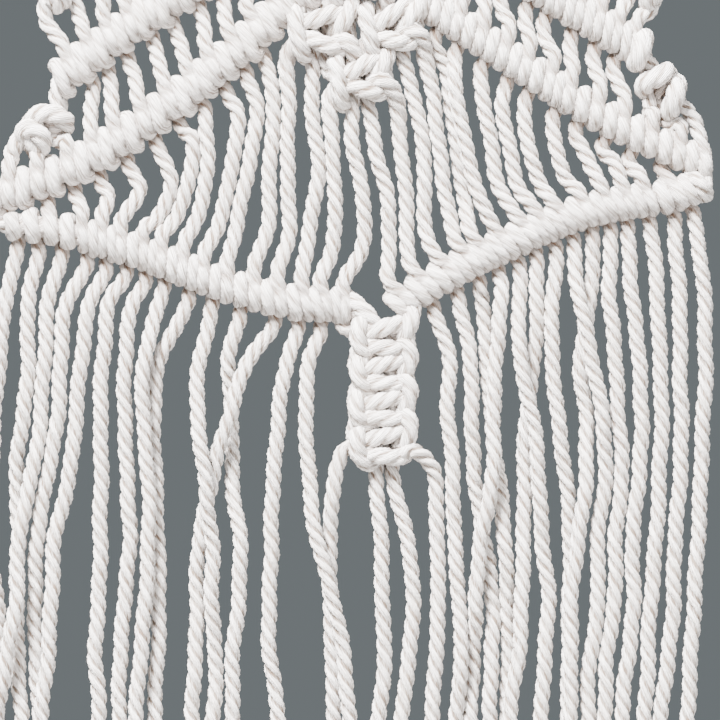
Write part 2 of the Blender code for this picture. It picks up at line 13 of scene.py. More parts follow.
import bpy
import bmesh
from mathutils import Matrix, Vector


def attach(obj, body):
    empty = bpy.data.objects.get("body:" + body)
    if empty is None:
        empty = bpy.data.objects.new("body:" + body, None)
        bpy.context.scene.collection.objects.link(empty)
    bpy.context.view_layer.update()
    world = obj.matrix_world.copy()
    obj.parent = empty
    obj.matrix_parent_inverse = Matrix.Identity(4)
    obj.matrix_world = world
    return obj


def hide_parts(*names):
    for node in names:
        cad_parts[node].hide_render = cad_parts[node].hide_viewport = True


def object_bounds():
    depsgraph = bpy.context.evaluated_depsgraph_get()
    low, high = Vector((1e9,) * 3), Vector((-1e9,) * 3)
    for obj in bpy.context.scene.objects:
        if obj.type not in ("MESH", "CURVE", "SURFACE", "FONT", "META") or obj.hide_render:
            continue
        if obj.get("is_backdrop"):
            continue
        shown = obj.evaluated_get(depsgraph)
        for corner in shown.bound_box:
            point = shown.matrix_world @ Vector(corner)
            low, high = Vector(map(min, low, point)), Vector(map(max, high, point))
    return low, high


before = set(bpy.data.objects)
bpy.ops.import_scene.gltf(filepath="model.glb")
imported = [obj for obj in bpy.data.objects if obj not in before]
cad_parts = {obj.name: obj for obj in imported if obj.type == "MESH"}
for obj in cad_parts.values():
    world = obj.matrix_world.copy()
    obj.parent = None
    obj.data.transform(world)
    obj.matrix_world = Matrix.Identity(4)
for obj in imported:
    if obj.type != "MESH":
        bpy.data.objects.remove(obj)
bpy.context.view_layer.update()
MM = 0.001

# %% [markdown]
# ## The rows of hitches and the free cords, in numbers
#
# These are the same stations as in the part's own source: the centre line of each row of knots, and the
# places that each free cord passes. A row is tied over one or two holding cords, and each of its 15 knots is
# a double half hitch. X is across, Z is up and -Y is the front. The origin is the middle of the top edge.

# %% Rows of hitches, from the middle outwards
KNOTS_A_ROW = 15
Row = namedtuple("Row", "name thickness side stations")
OUTER_LEFT = Row("outer_left", 10.0, -1, [
    (1.0, -14.0), (-24.0, -29.0), (-49.0, -45.0), (-63.0, -54.5), (-71.0, -60.5), (-75.5, -64.2)])
OUTER_RIGHT = Row("outer_right", 10.0, 1, [
    (-1.0, -14.0), (24.0, -29.5), (49.0, -45.0), (59.0, -51.2), (66.0, -55.5), (71.0, -58.2)])
MAIN_LEFT = Row("main_left", 10.0, -1, [
    (1.2, -31.5), (-18.5, -45.0), (-31.0, -56.8), (-46.0, -68.8), (-61.0, -79.5), (-76.0, -88.0),
    (-89.5, -93.2)])
MAIN_RIGHT = Row("main_right", 10.0, 1, [
    (-1.2, -31.5), (16.5, -46.2), (29.0, -54.5), (44.0, -64.5), (59.0, -73.8), (74.0, -81.2), (85.5, -86.2)])
LOWER_LEFT = Row("lower_left", 9.0, -1, [
    (3.5, -125.5), (-6.0, -121.5), (-16.0, -120.8), (-31.0, -117.5), (-53.5, -109.0), (-66.0, -105.0),
    (-78.5, -102.0), (-88.5, -100.8)])
LOWER_RIGHT = Row("lower_right", 9.0, 1, [
    (4.0, -124.5), (16.5, -116.0), (34.0, -106.8), (54.0, -98.2), (64.0, -96.0), (76.5, -94.0),
    (85.0, -91.2)])

# %% Cords from the outer chevron to the main one: x at the top, halfway and at the foot
LEFT_DROPS = [
    (-4.5, -3.6, -2.8), (-9.5, -8.3, -7.3), (-14.5, -13.5, -12.8), (-19.5, -18.8, -18.0),
    (-24.8, -24.0, -23.3), (-30.3, -29.3, -28.5), (-35.8, -34.8, -33.5), (-41.5, -40.0, -39.0),
    (-48.0, -45.8, -44.0), (-53.3, -51.5, -49.5), (-59.5, -57.3, -56.0), (-64.5, -63.3, -62.5),
    (-68.4, -68.2, -67.8)]
RIGHT_DROPS = [
    (4.0, 3.4, 2.8), (7.8, 6.8, 5.6), (11.8, 10.9, 9.8), (16.0, 15.2, 14.2), (20.5, 19.8, 18.9),
    (25.0, 24.6, 24.0), (30.0, 29.8, 29.5), (34.8, 34.5, 35.5), (41.0, 40.3, 40.8), (45.5, 45.3, 46.8),
    (52.3, 51.5, 51.3), (58.0, 57.8, 58.5), (63.0, 63.5, 64.8)]

# %% Cords across the diamond: x in quarters of the way down from the main chevron to the V
LEFT_SPANS = [
    (-25.5, -22.8, -23.5, -24.0, -27.3), (-29.8, -26.9, -28.8, -31.8, -34.0),
    (-35.0, -31.3, -33.3, -36.3, -39.8), (-40.5, -39.4, -39.2, -42.3, -44.8),
    (-46.3, -43.4, -43.6, -47.3, -50.2), (-52.5, -48.3, -48.0, -52.0, -54.5),
    (-59.5, -56.5, -56.0, -58.5, -60.3), (-66.3, -64.5, -64.0, -64.3, -64.8),
    (-72.5, -71.0, -69.8, -69.3, -69.3), (-79.5, -79.3, -79.0, -78.5, -78.3)]
RIGHT_SPANS = [
    (18.2, 20.6, 22.8, 24.9, 28.0), (23.3, 22.8, 24.8, 28.3, 33.0), (29.8, 29.3, 31.5, 34.0, 38.8),
    (35.8, 34.5, 36.3, 38.5, 42.8), (41.0, 39.3, 41.0, 44.0, 47.3), (47.8, 47.5, 48.5, 50.8, 53.5),
    (53.3, 53.8, 55.3, 57.5, 59.3), (60.3, 61.0, 62.3, 63.5, 64.3), (66.8, 67.5, 68.5, 69.0, 69.3),
    (74.3, 74.8, 75.3, 75.8, 76.0)]
# From the diamond's square knots: the height that each starts at, then x in quarters
KNOT_SPANS = {
    "left_01": (-55.0, -19.0, -19.0, -19.0, -19.0, -21.0),
    "centre_01": (-55.0, -12.8, -13.0, -11.5, -13.9, -15.0),
    "centre_02": (-68.0, -8.3, -8.0, -7.4, -7.8, -10.3),
    "centre_03": (-68.0, -3.3, -2.8, 0.0, -1.0, -4.8),
    "centre_04": (-68.0, 1.2, 2.8, 6.0, 6.0, 7.5),
    "centre_05": (-66.0, 6.0, 8.8, 10.3, 11.0, 13.0),
    "centre_06": (-55.0, 9.0, 12.8, 15.0, 15.1, 19.0),
    "right_01": (-53.0, 13.8, 16.9, 19.0, 20.8, 24.3),
}

# %% The fringe: x where each cord leaves the V, then at these heights
FRINGE_HEIGHTS = (-120.0, -135.0, -150.0, -165.0, -180.0, -195.0, -210.0, -225.0, -320.0)
LEFT_FRINGE = [
    (-11.0, -11.3, -13.5, -14.5, -13.8, -11.5, -7.8, -4.8, -3.8, -3.5),
    (-16.5, -16.8, -19.3, -21.3, -22.8, -23.0, -23.8, -23.3, -21.5, -21.0),
    (-22.3, -22.3, -28.8, -34.0, -38.0, -41.3, -41.8, -42.3, -42.8, -43.0),
    (-30.8, -31.0, -33.8, -33.3, -33.0, -31.0, -31.5, -32.7, -32.8, -33.5),
    (-37.8, -38.3, -41.0, -41.5, -39.5, -38.0, -38.0, -37.0, -37.8, -38.0),
    (-43.5, -45.0, -51.0, -52.8, -52.3, -51.5, -51.5, -51.8, -52.3, -52.0),
    (-49.8, -52.3, -55.0, -54.8, -53.8, -53.8, -54.3, -56.0, -57.0, -57.5),
    (-54.5, -57.8, -59.5, -59.8, -59.3, -58.3, -60.0, -61.0, -61.0, -61.5),
    (-59.3, -63.5, -65.3, -65.8, -65.8, -65.8, -66.5, -67.0, -66.3, -67.0),
    (-64.5, -68.3, -70.5, -72.3, -73.8, -77.3, -78.2, -78.8, -80.5, -81.5),
    (-69.0, -74.0, -75.8, -76.8, -79.2, -81.8, -82.5, -82.0, -81.5, -79.0),
    (-75.5, -78.8, -80.0, -80.8, -83.3, -86.0, -86.8, -88.8, -91.8, -92.0),
    (-81.5, -83.8, -84.0, -85.3, -87.2, -86.5, -87.0, -86.8, -85.5, -85.5),
    (-86.5, -89.8, -91.0, -92.5, -93.5, -93.5, -92.2, -91.0, -92.0, -90.5)]
RIGHT_FRINGE = [
    (17.0, 18.3, 21.3, 21.0, 22.3, 22.7, 23.6, 24.5, 22.6, 22.0),
    (23.0, 25.5, 26.8, 26.8, 27.8, 30.3, 32.0, 32.0, 31.5, 31.0),
    (28.5, 29.8, 30.8, 31.8, 34.0, 35.0, 36.0, 36.0, 35.8, 36.0),
    (33.3, 34.0, 33.0, 32.3, 31.8, 29.3, 27.9, 27.3, 26.8, 26.5),
    (38.3, 39.0, 39.0, 42.0, 43.8, 44.5, 46.0, 45.3, 44.3, 44.0),
    (42.8, 43.3, 42.5, 40.8, 39.9, 40.0, 39.3, 38.3, 36.5, 38.0),
    (47.5, 47.3, 47.0, 48.5, 50.8, 51.5, 51.5, 51.3, 50.8, 49.5),
    (52.0, 53.8, 56.8, 59.8, 60.1, 58.5, 58.5, 56.5, 56.1, 56.0),
    (57.0, 56.8, 54.0, 55.8, 55.3, 53.3, 51.8, 51.5, 51.3, 51.8),
    (61.5, 61.5, 62.8, 63.8, 64.3, 63.0, 62.5, 60.8, 60.1, 60.3),
    (66.0, 67.0, 68.8, 69.5, 68.5, 67.3, 67.3, 66.0, 64.5, 65.0),
    (71.5, 73.5, 74.0, 74.3, 74.0, 72.8, 71.8, 71.0, 70.0, 69.5),
    (77.5, 78.8, 79.0, 79.5, 78.8, 77.8, 77.5, 75.8, 74.3, 74.5),
    (82.0, 85.3, 85.3, 84.8, 84.3, 83.3, 82.8, 81.5, 81.0, 80.0)]
# The sennit's four ends: where each leaves it, as (x, y, z), then x at the fringe's lower heights
SENNIT_TAILS = {
    "tail_left": ([(-2.6, -0.4, -156.6), (-4.7, -0.3, -157.2), (-6.0, 0.0, -159.6), (-7.0, 0.0, -162.6),
                   (-7.7, 0.0, -168.0)], (-8.5, -8.5, -7.9, -7.5, -8.5)),
    "filler_left": ([(3.0, 0.5, -156.0), (3.1, 0.2, -162.0), (3.3, 0.0, -168.0)], (4.3, 4.5, 5.3, 3.5, 3.0)),
    "filler_right": ([(6.9, 0.5, -156.0), (7.1, 0.2, -162.0), (8.0, 0.0, -168.0)],
                     (10.8, 12.3, 11.3, 9.3, 9.0)),
    "tail_right": ([(10.6, -3.3, -157.2), (13.0, -2.8, -157.8), (15.5, -1.6, -159.7), (17.3, -0.6, -162.4),
                    (17.9, 0.0, -165.5), (17.9, 0.0, -169.5)], (18.4, 18.5, 18.0, 17.0, 16.5)),
}

# %% Where one cord lies over its neighbour: over, under, from this height, to this height
CROSSINGS = [
    ("right_03", "right_02", -57.0, -96.0), ("l12", "l13", -164.0, -216.0), ("l12", "l14", -198.0, -340.0),
    ("l10", "l11", -196.0, -340.0), ("l07", "l06", -134.0, -340.0), ("l03", "l04", -138.0, -163.0),
    ("l05", "l04", -150.0, -163.0), ("l05", "l03", -156.0, -200.0), ("l01", "tail_left", -176.0, -340.0),
    ("r04", "r03", -119.0, -171.0), ("r04", "r02", -167.0, -193.0), ("r01", "r04", -203.0, -219.0),
    ("r06", "r03", -196.0, -340.0), ("r05", "r06", -133.0, -166.0), ("r08", "r09", -114.0, -148.0),
    ("r09", "r07", -168.0, -340.0)]
CROSSING_DEPTH = 2.1
CROSSING_RAMP = 9.0


def crossing_depth(name, z):
    """How far a cord stands in front (negative) or behind where it crosses a neighbour."""
    depth = 0.0
    for over, under, z_from, z_to in CROSSINGS:
        if name in (over, under):
            share = min(max(1.0 + min(z_from - z, z - z_to) / CROSSING_RAMP, 0.0), 1.0)
            depth += CROSSING_DEPTH * share * share * (3.0 - 2.0 * share) * (-1.0 if name == over else 1.0)
    return max(-2.0 * CROSSING_DEPTH, min(2.0 * CROSSING_DEPTH, depth))


# %% [markdown]
# ## From a few places to a smooth path
#
# A cord under no strain bends smoothly, so its path is a curve through the places it is known to pass.
# A centripetal Catmull-Rom curve goes through every one of them and never loops back on itself where they are
# close together, as they are inside a knot. The fourth number at each place is the cord's radius there.
# The path is then cut into even steps, because each step becomes one ring of the rope's skin.

# %% A smooth path, cut into even steps
CORD_RADIUS = 2.05
FINE_STEPS = 8


def spread(places, spacing):
    """Even steps along a smooth curve through places, each with any count of numbers."""
    rows = [Vector(p) for p in places]
    rows = [rows[0] * 2 - rows[1], *rows, rows[-1] * 2 - rows[-2]]
    fine = []
    for a, b, c, d in zip(rows, rows[1:], rows[2:], rows[3:]):
        t1 = max((b - a).length, 1e-6) ** 0.5
        t2 = t1 + max((c - b).length, 1e-6) ** 0.5
        t3 = t2 + max((d - c).length, 1e-6) ** 0.5
        for i in range(FINE_STEPS):
            t = t1 + (t2 - t1) * i / FINE_STEPS
            ab = a * ((t1 - t) / t1) + b * (t / t1)
            bc = b * ((t2 - t) / (t2 - t1)) + c * ((t - t1) / (t2 - t1))
            cd = c * ((t3 - t) / (t3 - t2)) + d * ((t - t2) / (t3 - t2))
            abc = ab * ((t2 - t) / t2) + bc * (t / t2)
            bcd = bc * ((t3 - t) / (t3 - t1)) + cd * ((t - t1) / (t3 - t1))
            fine.append(abc * ((t2 - t) / (t2 - t1)) + bcd * ((t - t1) / (t2 - t1)))
    fine.append(rows[-2])
    reach = [0.0]
    for p, q in zip(fine, fine[1:]):
        reach.append(reach[-1] + (q.xyz - p.xyz).length)
    steps = max(2, round(reach[-1] / spacing))
    even, at = [], 0
    for i in range(steps + 1):
        wanted = reach[-1] * i / steps
        while at < len(fine) - 2 and reach[at + 1] < wanted:
            at += 1
        gap = max(reach[at + 1] - reach[at], 1e-9)
        even.append(fine[at].lerp(fine[at + 1], min(max((wanted - reach[at]) / gap, 0.0), 1.0)))
    return even


# %% A row's centre line, and how far along it a knot sits
LINE_STEP = 0.8
SEARCH_ROUNDS = 12
SEARCH_PACE = 0.9


class Line:
    """The centre line of a row of hitches, measured from its inner end."""

    def __init__(self, row):
        self.row = row
        self.points = spread([(x, 0.0, z, 0.0) for x, z in row.stations], LINE_STEP)
        self.reach = [0.0]
        for p, q in zip(self.points, self.points[1:]):
            self.reach.append(self.reach[-1] + (q - p).length)
        self.length = self.reach[-1]

    def at(self, s):
        """Centre at this reach, the direction along the row, and the direction down across it."""
        i = min(max(int(s / self.length * (len(self.points) - 1)), 0), len(self.points) - 2)
        p, q = self.points[i].xyz, self.points[i + 1].xyz
        along = (q - p).normalized()
        across = Vector((along.z, 0.0, -along.x))
        if across.z > 0:
            across = -across
        return p + along * (s - self.reach[i]), along, across

    def edge(self, s, below):
        """The row's lower or upper edge at this reach."""
        centre, _, across = self.at(s)
        return centre + across * (self.row.thickness / 2 * (1 if below else -1))

    def reach_at(self, x, below=None):
        """The reach where the centre line, or one of the edges, passes this x."""
        s = self.length / 2
        for _ in range(SEARCH_ROUNDS):
            centre, along, _ = self.at(s)
            spot = centre if below is None else self.edge(s, below)
            s += (x - spot.x) / along.x * SEARCH_PACE
        return s

    def height(self, x):
        """The centre line's height at this x."""
        return self.at(self.reach_at(x))[0].z


ROWS = (OUTER_LEFT, OUTER_RIGHT, MAIN_LEFT, MAIN_RIGHT, LOWER_LEFT, LOWER_RIGHT)
LINES = {row.name: Line(row) for row in ROWS}
print({name: round(line.length, 1) for name, line in LINES.items()}, "mm long")

# %% [markdown]
# ## Shader and tree maths written as plain sums
#
# A node tree is easier to read as a formula. One small class holds a socket, and its operators add Math
# nodes. The same class writes the rope's outline in Geometry Nodes and the cotton's colours in the shader.

# %% Sums that build nodes
def both_ways(operation):
    """The method of an operator and its reflected form, so that 1 - mask works as well as mask - 1."""
    def forward(self, other):
        return self.maths(operation, self, other)

    def reflected(self, other):
        return self.maths(operation, other, self)

    return forward, reflected


class Sum:
    """A socket in a node tree. An expression on it adds its Math nodes."""

    __add__, __radd__ = both_ways("ADD")
    __sub__, __rsub__ = both_ways("SUBTRACT")
    __mul__, __rmul__ = both_ways("MULTIPLY")
    __truediv__, __rtruediv__ = both_ways("DIVIDE")
    __mod__, __rmod__ = both_ways("FLOORED_MODULO")

    def __init__(self, tree, socket):
        self.tree = tree
        self.socket = socket

    def node(self, kind, settings=None, **values):
        """Any node: its settings first, then values or links by socket name or number."""
        made = self.tree.nodes.new(kind)
        for name, value in (settings or {}).items():
            setattr(made, name, value)
        for name, value in values.items():
            key = int(name[1:]) if name[0] == "_" else name.replace("_", " ")
            socket = made.inputs[key]
            if isinstance(value, Sum):
                self.tree.links.new(value.socket, socket)
            else:
                socket.default_value = value
        return made

    def out(self, made, name=0):
        return Sum(self.tree, made.outputs[name])

    def maths(self, operation, *values):
        return self.out(self.node("ShaderNodeMath", {"operation": operation},
                                  **{f"_{i}": v for i, v in enumerate(values)}))

    def sin(self):
        return self.maths("SINE", self)

    def cos(self):
        return self.maths("COSINE", self)

    def root(self):
        return self.maths("SQRT", self)

    def clamp(self):
        return self.out(self.node("ShaderNodeClamp", Value=self))

    def between(self, low, high):
        """0 below low, 1 above high, smooth in between."""
        return self.out(self.node("ShaderNodeMapRange", {"interpolation_type": "SMOOTHSTEP"},
                                  Value=self, From_Min=low, From_Max=high))


# %% [markdown]
# ## The rope: three plies laid round each other
#
# Natural macrame cord is three soft plies twisted together. Cut across, it is a trefoil: three round lobes
# with a groove between each two. It is laid so that the plies run down to the right as the cord hangs.
# It could be three thin tubes coiled round each other, but their hidden inner halves would cost half the
# faces. So the Geometry Nodes tree below sweeps one trefoil outline along each path and turns it as it goes:
# the tilt of the curve grows by a full turn for every lay length. The outline is left open so that the map
# of the skin has a clean seam, and merging by distance then closes the seam and the pointed ends.
# Where a loop is pulled tight its plies are pressed together, so there the trefoil is filled out to a circle.

# %% The tree that lays a rope along every path
LAY = 11.6
PLIES = 3
LOBE_OFFSET = 0.42
LOBE_RADIUS = 0.58
ROUNDED = 0.95
OUTLINE_POINTS = 18
FLANK_DARK, FLANK_LIT = -0.3, 0.7
WELD = 2e-6


def rope_tree():
    tree = bpy.data.node_groups.new("lay_rope", "GeometryNodeTree")
    face = tree.interface
    face.new_socket("Geometry", in_out="INPUT", socket_type="NodeSocketGeometry")
    for name, value in (("Lay", LAY * MM), ("Lobe Offset", LOBE_OFFSET), ("Lobe Radius", LOBE_RADIUS)):
        socket = face.new_socket(name, in_out="INPUT", socket_type="NodeSocketFloat")
        socket.default_value = value
    face.new_socket("Material", in_out="INPUT", socket_type="NodeSocketMaterial")
    face.new_socket("Geometry", in_out="OUTPUT", socket_type="NodeSocketGeometry")
    given = tree.nodes.new("NodeGroupInput")
    tool = Sum(tree, given.outputs[0])
    lay, offset, lobe = (Sum(tree, given.outputs[name]) for name in ("Lay", "Lobe Offset", "Lobe Radius"))

    def stored(name, kind="FLOAT"):
        return tool.out(tool.node("GeometryNodeInputNamedAttribute", {"data_type": kind}, Name=name))

    def keep(geometry, name, value, kind="FLOAT", domain="POINT"):
        return tool.out(tool.node("GeometryNodeStoreNamedAttribute", {"data_type": kind, "domain": domain},
                                  Geometry=geometry, Name=name, Value=value))

    def vectors(operation, output="Vector", **values):
        return tool.out(tool.node("ShaderNodeVectorMath", {"operation": operation}, **values), output)

    def lobes(share):
        """How far the trefoil's outline is from its middle, at this share of the way round."""
        inside = ((share * PLIES + 0.5) % 1.0 - 0.5) * (math.tau / PLIES)
        swing = inside.sin() * offset
        return inside.cos() * offset + (lobe * lobe - swing * swing).root()

    # the outline: an unrolled line bent round into a trefoil
    line = tool.out(tool.node("GeometryNodeCurvePrimitiveLine"))
    cut = tool.out(tool.node("GeometryNodeResampleCurve", Curve=line, Count=OUTLINE_POINTS + 1))
    share = tool.out(tool.node("GeometryNodeSplineParameter"), "Factor")
    named = keep(cut, "around", share)
    turn = share * -math.tau
    reach = lobes(share)
    where = tool.node("ShaderNodeCombineXYZ", X=reach * turn.cos(), Y=reach * turn.sin())
    outline = tool.out(tool.node("GeometryNodeSetPosition", Geometry=named, Position=tool.out(where)))

    # the paths: wire meshes with a radius and a start angle at each point
    paths = tool.out(tool.node("GeometryNodeMeshToCurve", Mesh=tool))
    untwisted = tool.out(tool.node("GeometryNodeSetCurveNormal", Curve=paths))
    gone = tool.out(tool.node("GeometryNodeSplineParameter"), "Length")
    tilt = stored("start_turn") - gone / lay * math.tau
    turned = tool.out(tool.node("GeometryNodeSetCurveTilt", Curve=untwisted, Tilt=tilt))
    measured = keep(turned, "along", gone)
    place = tool.out(tool.node("GeometryNodeInputPosition"))
    centred = keep(measured, "middle", place, "FLOAT_VECTOR")
    skin = tool.out(tool.node("GeometryNodeCurveToMesh", Curve=centred, Profile_Curve=outline,
                              Scale=stored("rope_radius")))

    # the pressed plies: the skin moves away from the path's middle until the trefoil is a circle
    fuller = (ROUNDED / lobes(stored("around")) - 1.0) * stored("pressed")
    away = vectors("SUBTRACT", _0=place, _1=stored("middle", "FLOAT_VECTOR"))
    filled = tool.out(tool.node("GeometryNodeSetPosition", Geometry=skin,
                                Offset=vectors("SCALE", _0=away, Scale=fuller)))

    # the flanks of a tight loop face the next loop, and little light gets in between them; the cotton paints
    # shade there
    bulge = stored("bulge", "FLOAT_VECTOR")
    flank = vectors("DOT_PRODUCT", "Value", _0=away, _1=bulge) / stored("rope_radius")
    deep = (1.0 - flank.between(FLANK_DARK, FLANK_LIT)) * stored("pressed")
    shaded = keep(filled, "deep", deep)
    pair = tool.out(tool.node("ShaderNodeCombineXYZ", X=stored("around"), Y=stored("along")))
    mapped = keep(shaded, "cord_uv", pair, "FLOAT2", "CORNER")
    closed = tool.out(tool.node("GeometryNodeMergeByDistance", Geometry=mapped, Distance=WELD))
    smooth = tool.out(tool.node("GeometryNodeSetShadeSmooth", Geometry=closed))
    real = tool.out(tool.node("GeometryNodeRealizeInstances", Geometry=smooth))
    painted = tool.node("GeometryNodeSetMaterial", Geometry=real,
                        Material=Sum(tree, given.outputs["Material"]))
    end = tree.nodes.new("NodeGroupOutput")
    tree.links.new(painted.outputs[0], end.inputs[0])
    return tree


ROPE_TREE = rope_tree()
print("rope tree:", len(ROPE_TREE.nodes), "nodes")

# %% [markdown]
# ## Cotton
#
# The cord is unbleached, combed cotton: a warm white where a ply stands proud, and painted shade, a brown,
# down in the grooves, where less light comes back out. It is matt, with hardly any gloss. Up close each ply
# is a bundle of fine yarns, so a bump runs along them, a little off the line of the ply, and long streaks of
# noise part them into fibres. Where the plies are pressed together the grooves all but close, and instead
# painted shade darkens the flank of the loop, in the crease against the next one. Painted shade, a dark
# brown, also lies where a cord goes into a knot or comes out from under a row, and deep in the knots. The
# pattern reads the cord's own map, around and along, so it turns with every ply and goes round every hitch.

# %% The cotton
RIDGE = (0.965, 0.91, 0.875, 1.0)
GROOVE_SHADE = (0.20, 0.135, 0.095, 1.0)
PAINTED_SHADE_COLOUR = (0.13, 0.065, 0.033, 1.0)
AGED = (0.74, 0.65, 0.565, 1.0)
MATT = {"Roughness": 0.86, "Specular IOR Level": 0.22, "Sheen Weight": 0.25, "Sheen Roughness": 0.6,
        "Sheen Tint": (1.0, 0.97, 0.92, 1.0)}
YARNS_AROUND = 33
YARN_SLANT = 0.45
STREAKS_AROUND = 30.0
STREAKS_A_METRE = 200.0
STREAK_DEPTH = 2.6
GROOVE_WIDTH = 0.45
PRESSED_EVENS = 0.6
CREASE_SHADE = 0.6
PAINTED_SHADE_STRENGTH = 0.85


def cotton(name):
    made = bpy.data.materials.new(name)
    made.use_nodes = True
    tree = made.node_tree
    shader = tree.nodes["Principled BSDF"]
    for socket, value in MATT.items():
        shader.inputs[socket].default_value = value
    tool = Sum(tree, None)

    def attribute(name):
        return tool.out(tool.node("ShaderNodeAttribute", {"attribute_name": name}), "Fac")

    def noise(vector, scale, detail):
        return tool.out(tool.node("ShaderNodeTexNoise", Vector=vector, Scale=scale, Detail=detail), 0)

    def mix(share, a, b):
        mixed = tool.node("ShaderNodeMix", {"data_type": "RGBA"})
        tree.links.new(share.socket, mixed.inputs[0])
        for socket, value in ((mixed.inputs[6], a), (mixed.inputs[7], b)):
            if isinstance(value, Sum):
                tree.links.new(value.socket, socket)
            else:
                socket.default_value = value
        return tool.out(mixed, 2)

    split = tool.node("ShaderNodeSeparateXYZ",
                      Vector=tool.out(tool.node("ShaderNodeUVMap", {"uv_map": "cord_uv"}), "UV"))
    around, along = tool.out(split, "X"), tool.out(split, "Y")
    place = tool.out(tool.node("ShaderNodeTexCoord"), "Object")
    mottle = noise(place, 900.0, 2.0)
    broad = noise(place, 60.0, 1.0)
    # the yarns and the streaks run lengthways, a little steeper than their ply
    steep = around + along * (YARN_SLANT / (LAY * MM))
    yarns = (steep * (YARNS_AROUND * math.tau) + mottle * 5.0).sin()
    lengthways = tool.node("ShaderNodeCombineXYZ", X=steep * STREAKS_AROUND, Y=along * STREAKS_A_METRE)
    streaks = noise(tool.out(lengthways), 1.0, 3.0) - 0.5
    # a ply is pale where it stands proud and carries painted shade in its grooves, and pressed plies have
    # hardly a groove
    proud = (around * (PLIES * math.tau)).cos() * 0.5 + 0.5
    groove = (1.0 - proud.between(0.0, GROOVE_WIDTH)) * (1.0 - attribute("pressed") * PRESSED_EVENS)
    ply = 1.0 - groove
    lit = (ply * 0.74 + streaks * STREAK_DEPTH + yarns * 0.08 + 0.12).clamp()
    plies = mix(lit, GROOVE_SHADE, RIDGE)
    aged = mix(broad.between(0.45, 0.75) * 0.2, plies, AGED)
    # painted shade, a dark brown, where a cord goes into a knot or comes out from under a row
    tucked = attribute("tucked") * (1.0 - streaks * 0.6) * PAINTED_SHADE_STRENGTH
    # painted shade in the creases between tight loops, from the deep attribute, in the same dark brown
    shaded = mix((tucked + attribute("deep") * CREASE_SHADE).clamp(), aged, PAINTED_SHADE_COLOUR)
    tree.links.new(shaded.socket, shader.inputs["Base Color"])
    bump = tool.node("ShaderNodeBump", Strength=0.9, Distance=0.0003,
                     Height=yarns * 0.3 + streaks * STREAK_DEPTH + mottle * 0.4)
    tree.links.new(bump.outputs[0], shader.inputs["Normal"])
    return made


COTTON = {"knotted_panel": cotton("knotted_cotton_cord"), "fringe": cotton("fringe_cotton_cord")}

# %% [markdown]
# ## Collecting cords, piece by piece
#
# Every cord is kept in a list under the name of the piece it will be part of, and a whole piece is then laid
# by the tree in one go. Slack cords are never quite straight, so a slow wander of a quarter of a millimetre
# is added. It comes from one seeded source, and the same hanging is made each time.

# %% The list of cords, and how one is added
SPACING = 1.15
TIGHT = 0.95
SETTLES_IN = 8.0
SHORT_WAVE, LONG_WAVE = (14.0, 22.0), (30.0, 44.0)
DEPTH_SWAY = 0.6
SHADE_FALLOFF = 1.5
chance = random.Random(41)
CORDS = {}


def shade_at(place, tucks):
    """How dark it is here, from the places of shade: each is where it is, its size and its depth."""
    shade = 0.0
    for where, size, depth in tucks:
        far = (place - Vector(where)).length
        shade = max(shade, depth * max(0.0, 1.0 - far / size) ** SHADE_FALLOFF)
    return shade


def lay_cord(piece, places, wander=0.25, spacing=SPACING, tucks=()):
    """places are (x, y, z), with a radius and how far the plies are pressed together if they aren't free."""
    free = (CORD_RADIUS, 0.0)
    rings = spread([(*p, *free[len(p) - 3:]) for p in places], spacing)
    turns = [chance.uniform(0, math.tau) for _ in range(4)]
    waves = [chance.uniform(*SHORT_WAVE), chance.uniform(*LONG_WAVE)]
    gone = 0.0
    made = []
    for i, ring in enumerate(rings):
        if i:
            gone += (ring.xyz - rings[i - 1].xyz).length
        ease = min(gone / SETTLES_IN, 1.0) * max(0.0, 1.0 - ring[4])
        sway = [wander * ease * (0.5 * math.sin(gone / waves[0] * math.tau + turns[k])
                                 + 0.5 * math.sin(gone / waves[1] * math.tau + turns[k + 1])) for k in (0, 2)]
        place = Vector((ring.x + sway[0], ring.y + sway[1] * DEPTH_SWAY, ring.z))
        # the painted shade at each ring comes from the places of shade
        made.append((place, ring.w, shade_at(place, tucks), min(max(ring[4], 0.0), 1.0)))
    CORDS.setdefault(piece, []).append((made, chance.uniform(0, math.tau)))


# %% [markdown]
# ## Double half hitches
#
# A working cord comes down over the front of the row, goes under it and up the back, over the top and down
# the front again, and is pulled out behind. So each knot shows two loops side by side: one that the cord
# flows into, and one with a round shoulder of its own. Pulled tight, the loops lean towards the lie of the
# cord's own plies, and no two are quite alike. On the rows of the V the knots were tied from the outside
# inwards, and on the chevrons from the middle outwards.

# %% How each row is tied
# lean of the loops, share of the pitch that a loop's radius takes, direction, sag of the second loop, bulk
Tie = namedtuple("Tie", "lean squeeze outward hang bulk")
TIES = {
    "outer_left": Tie(-0.36, 0.62, True, 1.5, 0.97), "outer_right": Tie(0.42, 0.63, True, 0.5, 0.95),
    "main_left": Tie(-0.38, 0.62, True, 1.5, 0.97), "main_right": Tie(0.44, 0.64, True, 0.3, 0.91),
    "lower_left": Tie(0.36, 0.62, False, 0.5, 1.0), "lower_right": Tie(0.26, 0.62, False, 0.4, 1.0)}
PRESSED = 0.8
THINNEST, FATTEST = 1.5, 2.15
SLIP = 0.15
LEAN_VARIES = 0.06
PULLED = (0.92, 1.0)
LEAN_BEHIND = 0.35

# Each loop is a list of angles round the row, and how far it stands off the row's skin there. The second
# loop's shoulder stands proud, and its underside sags by the share of the row's hang.
FIRST_LOOP = ((-48, 0.1), (-20, 0.0), (5, 0.0), (32, 0.0), (62, 0.1), (92, 0.3))
BEHIND = (130, 180, 228)
SHOULDER = ((-96, 0.5), (-66, 0.4), (-38, 0.3), (-12, 0.0), (14, 0.0))
SAG = ((40, 0.3), (66, 0.8), (92, 1.0))


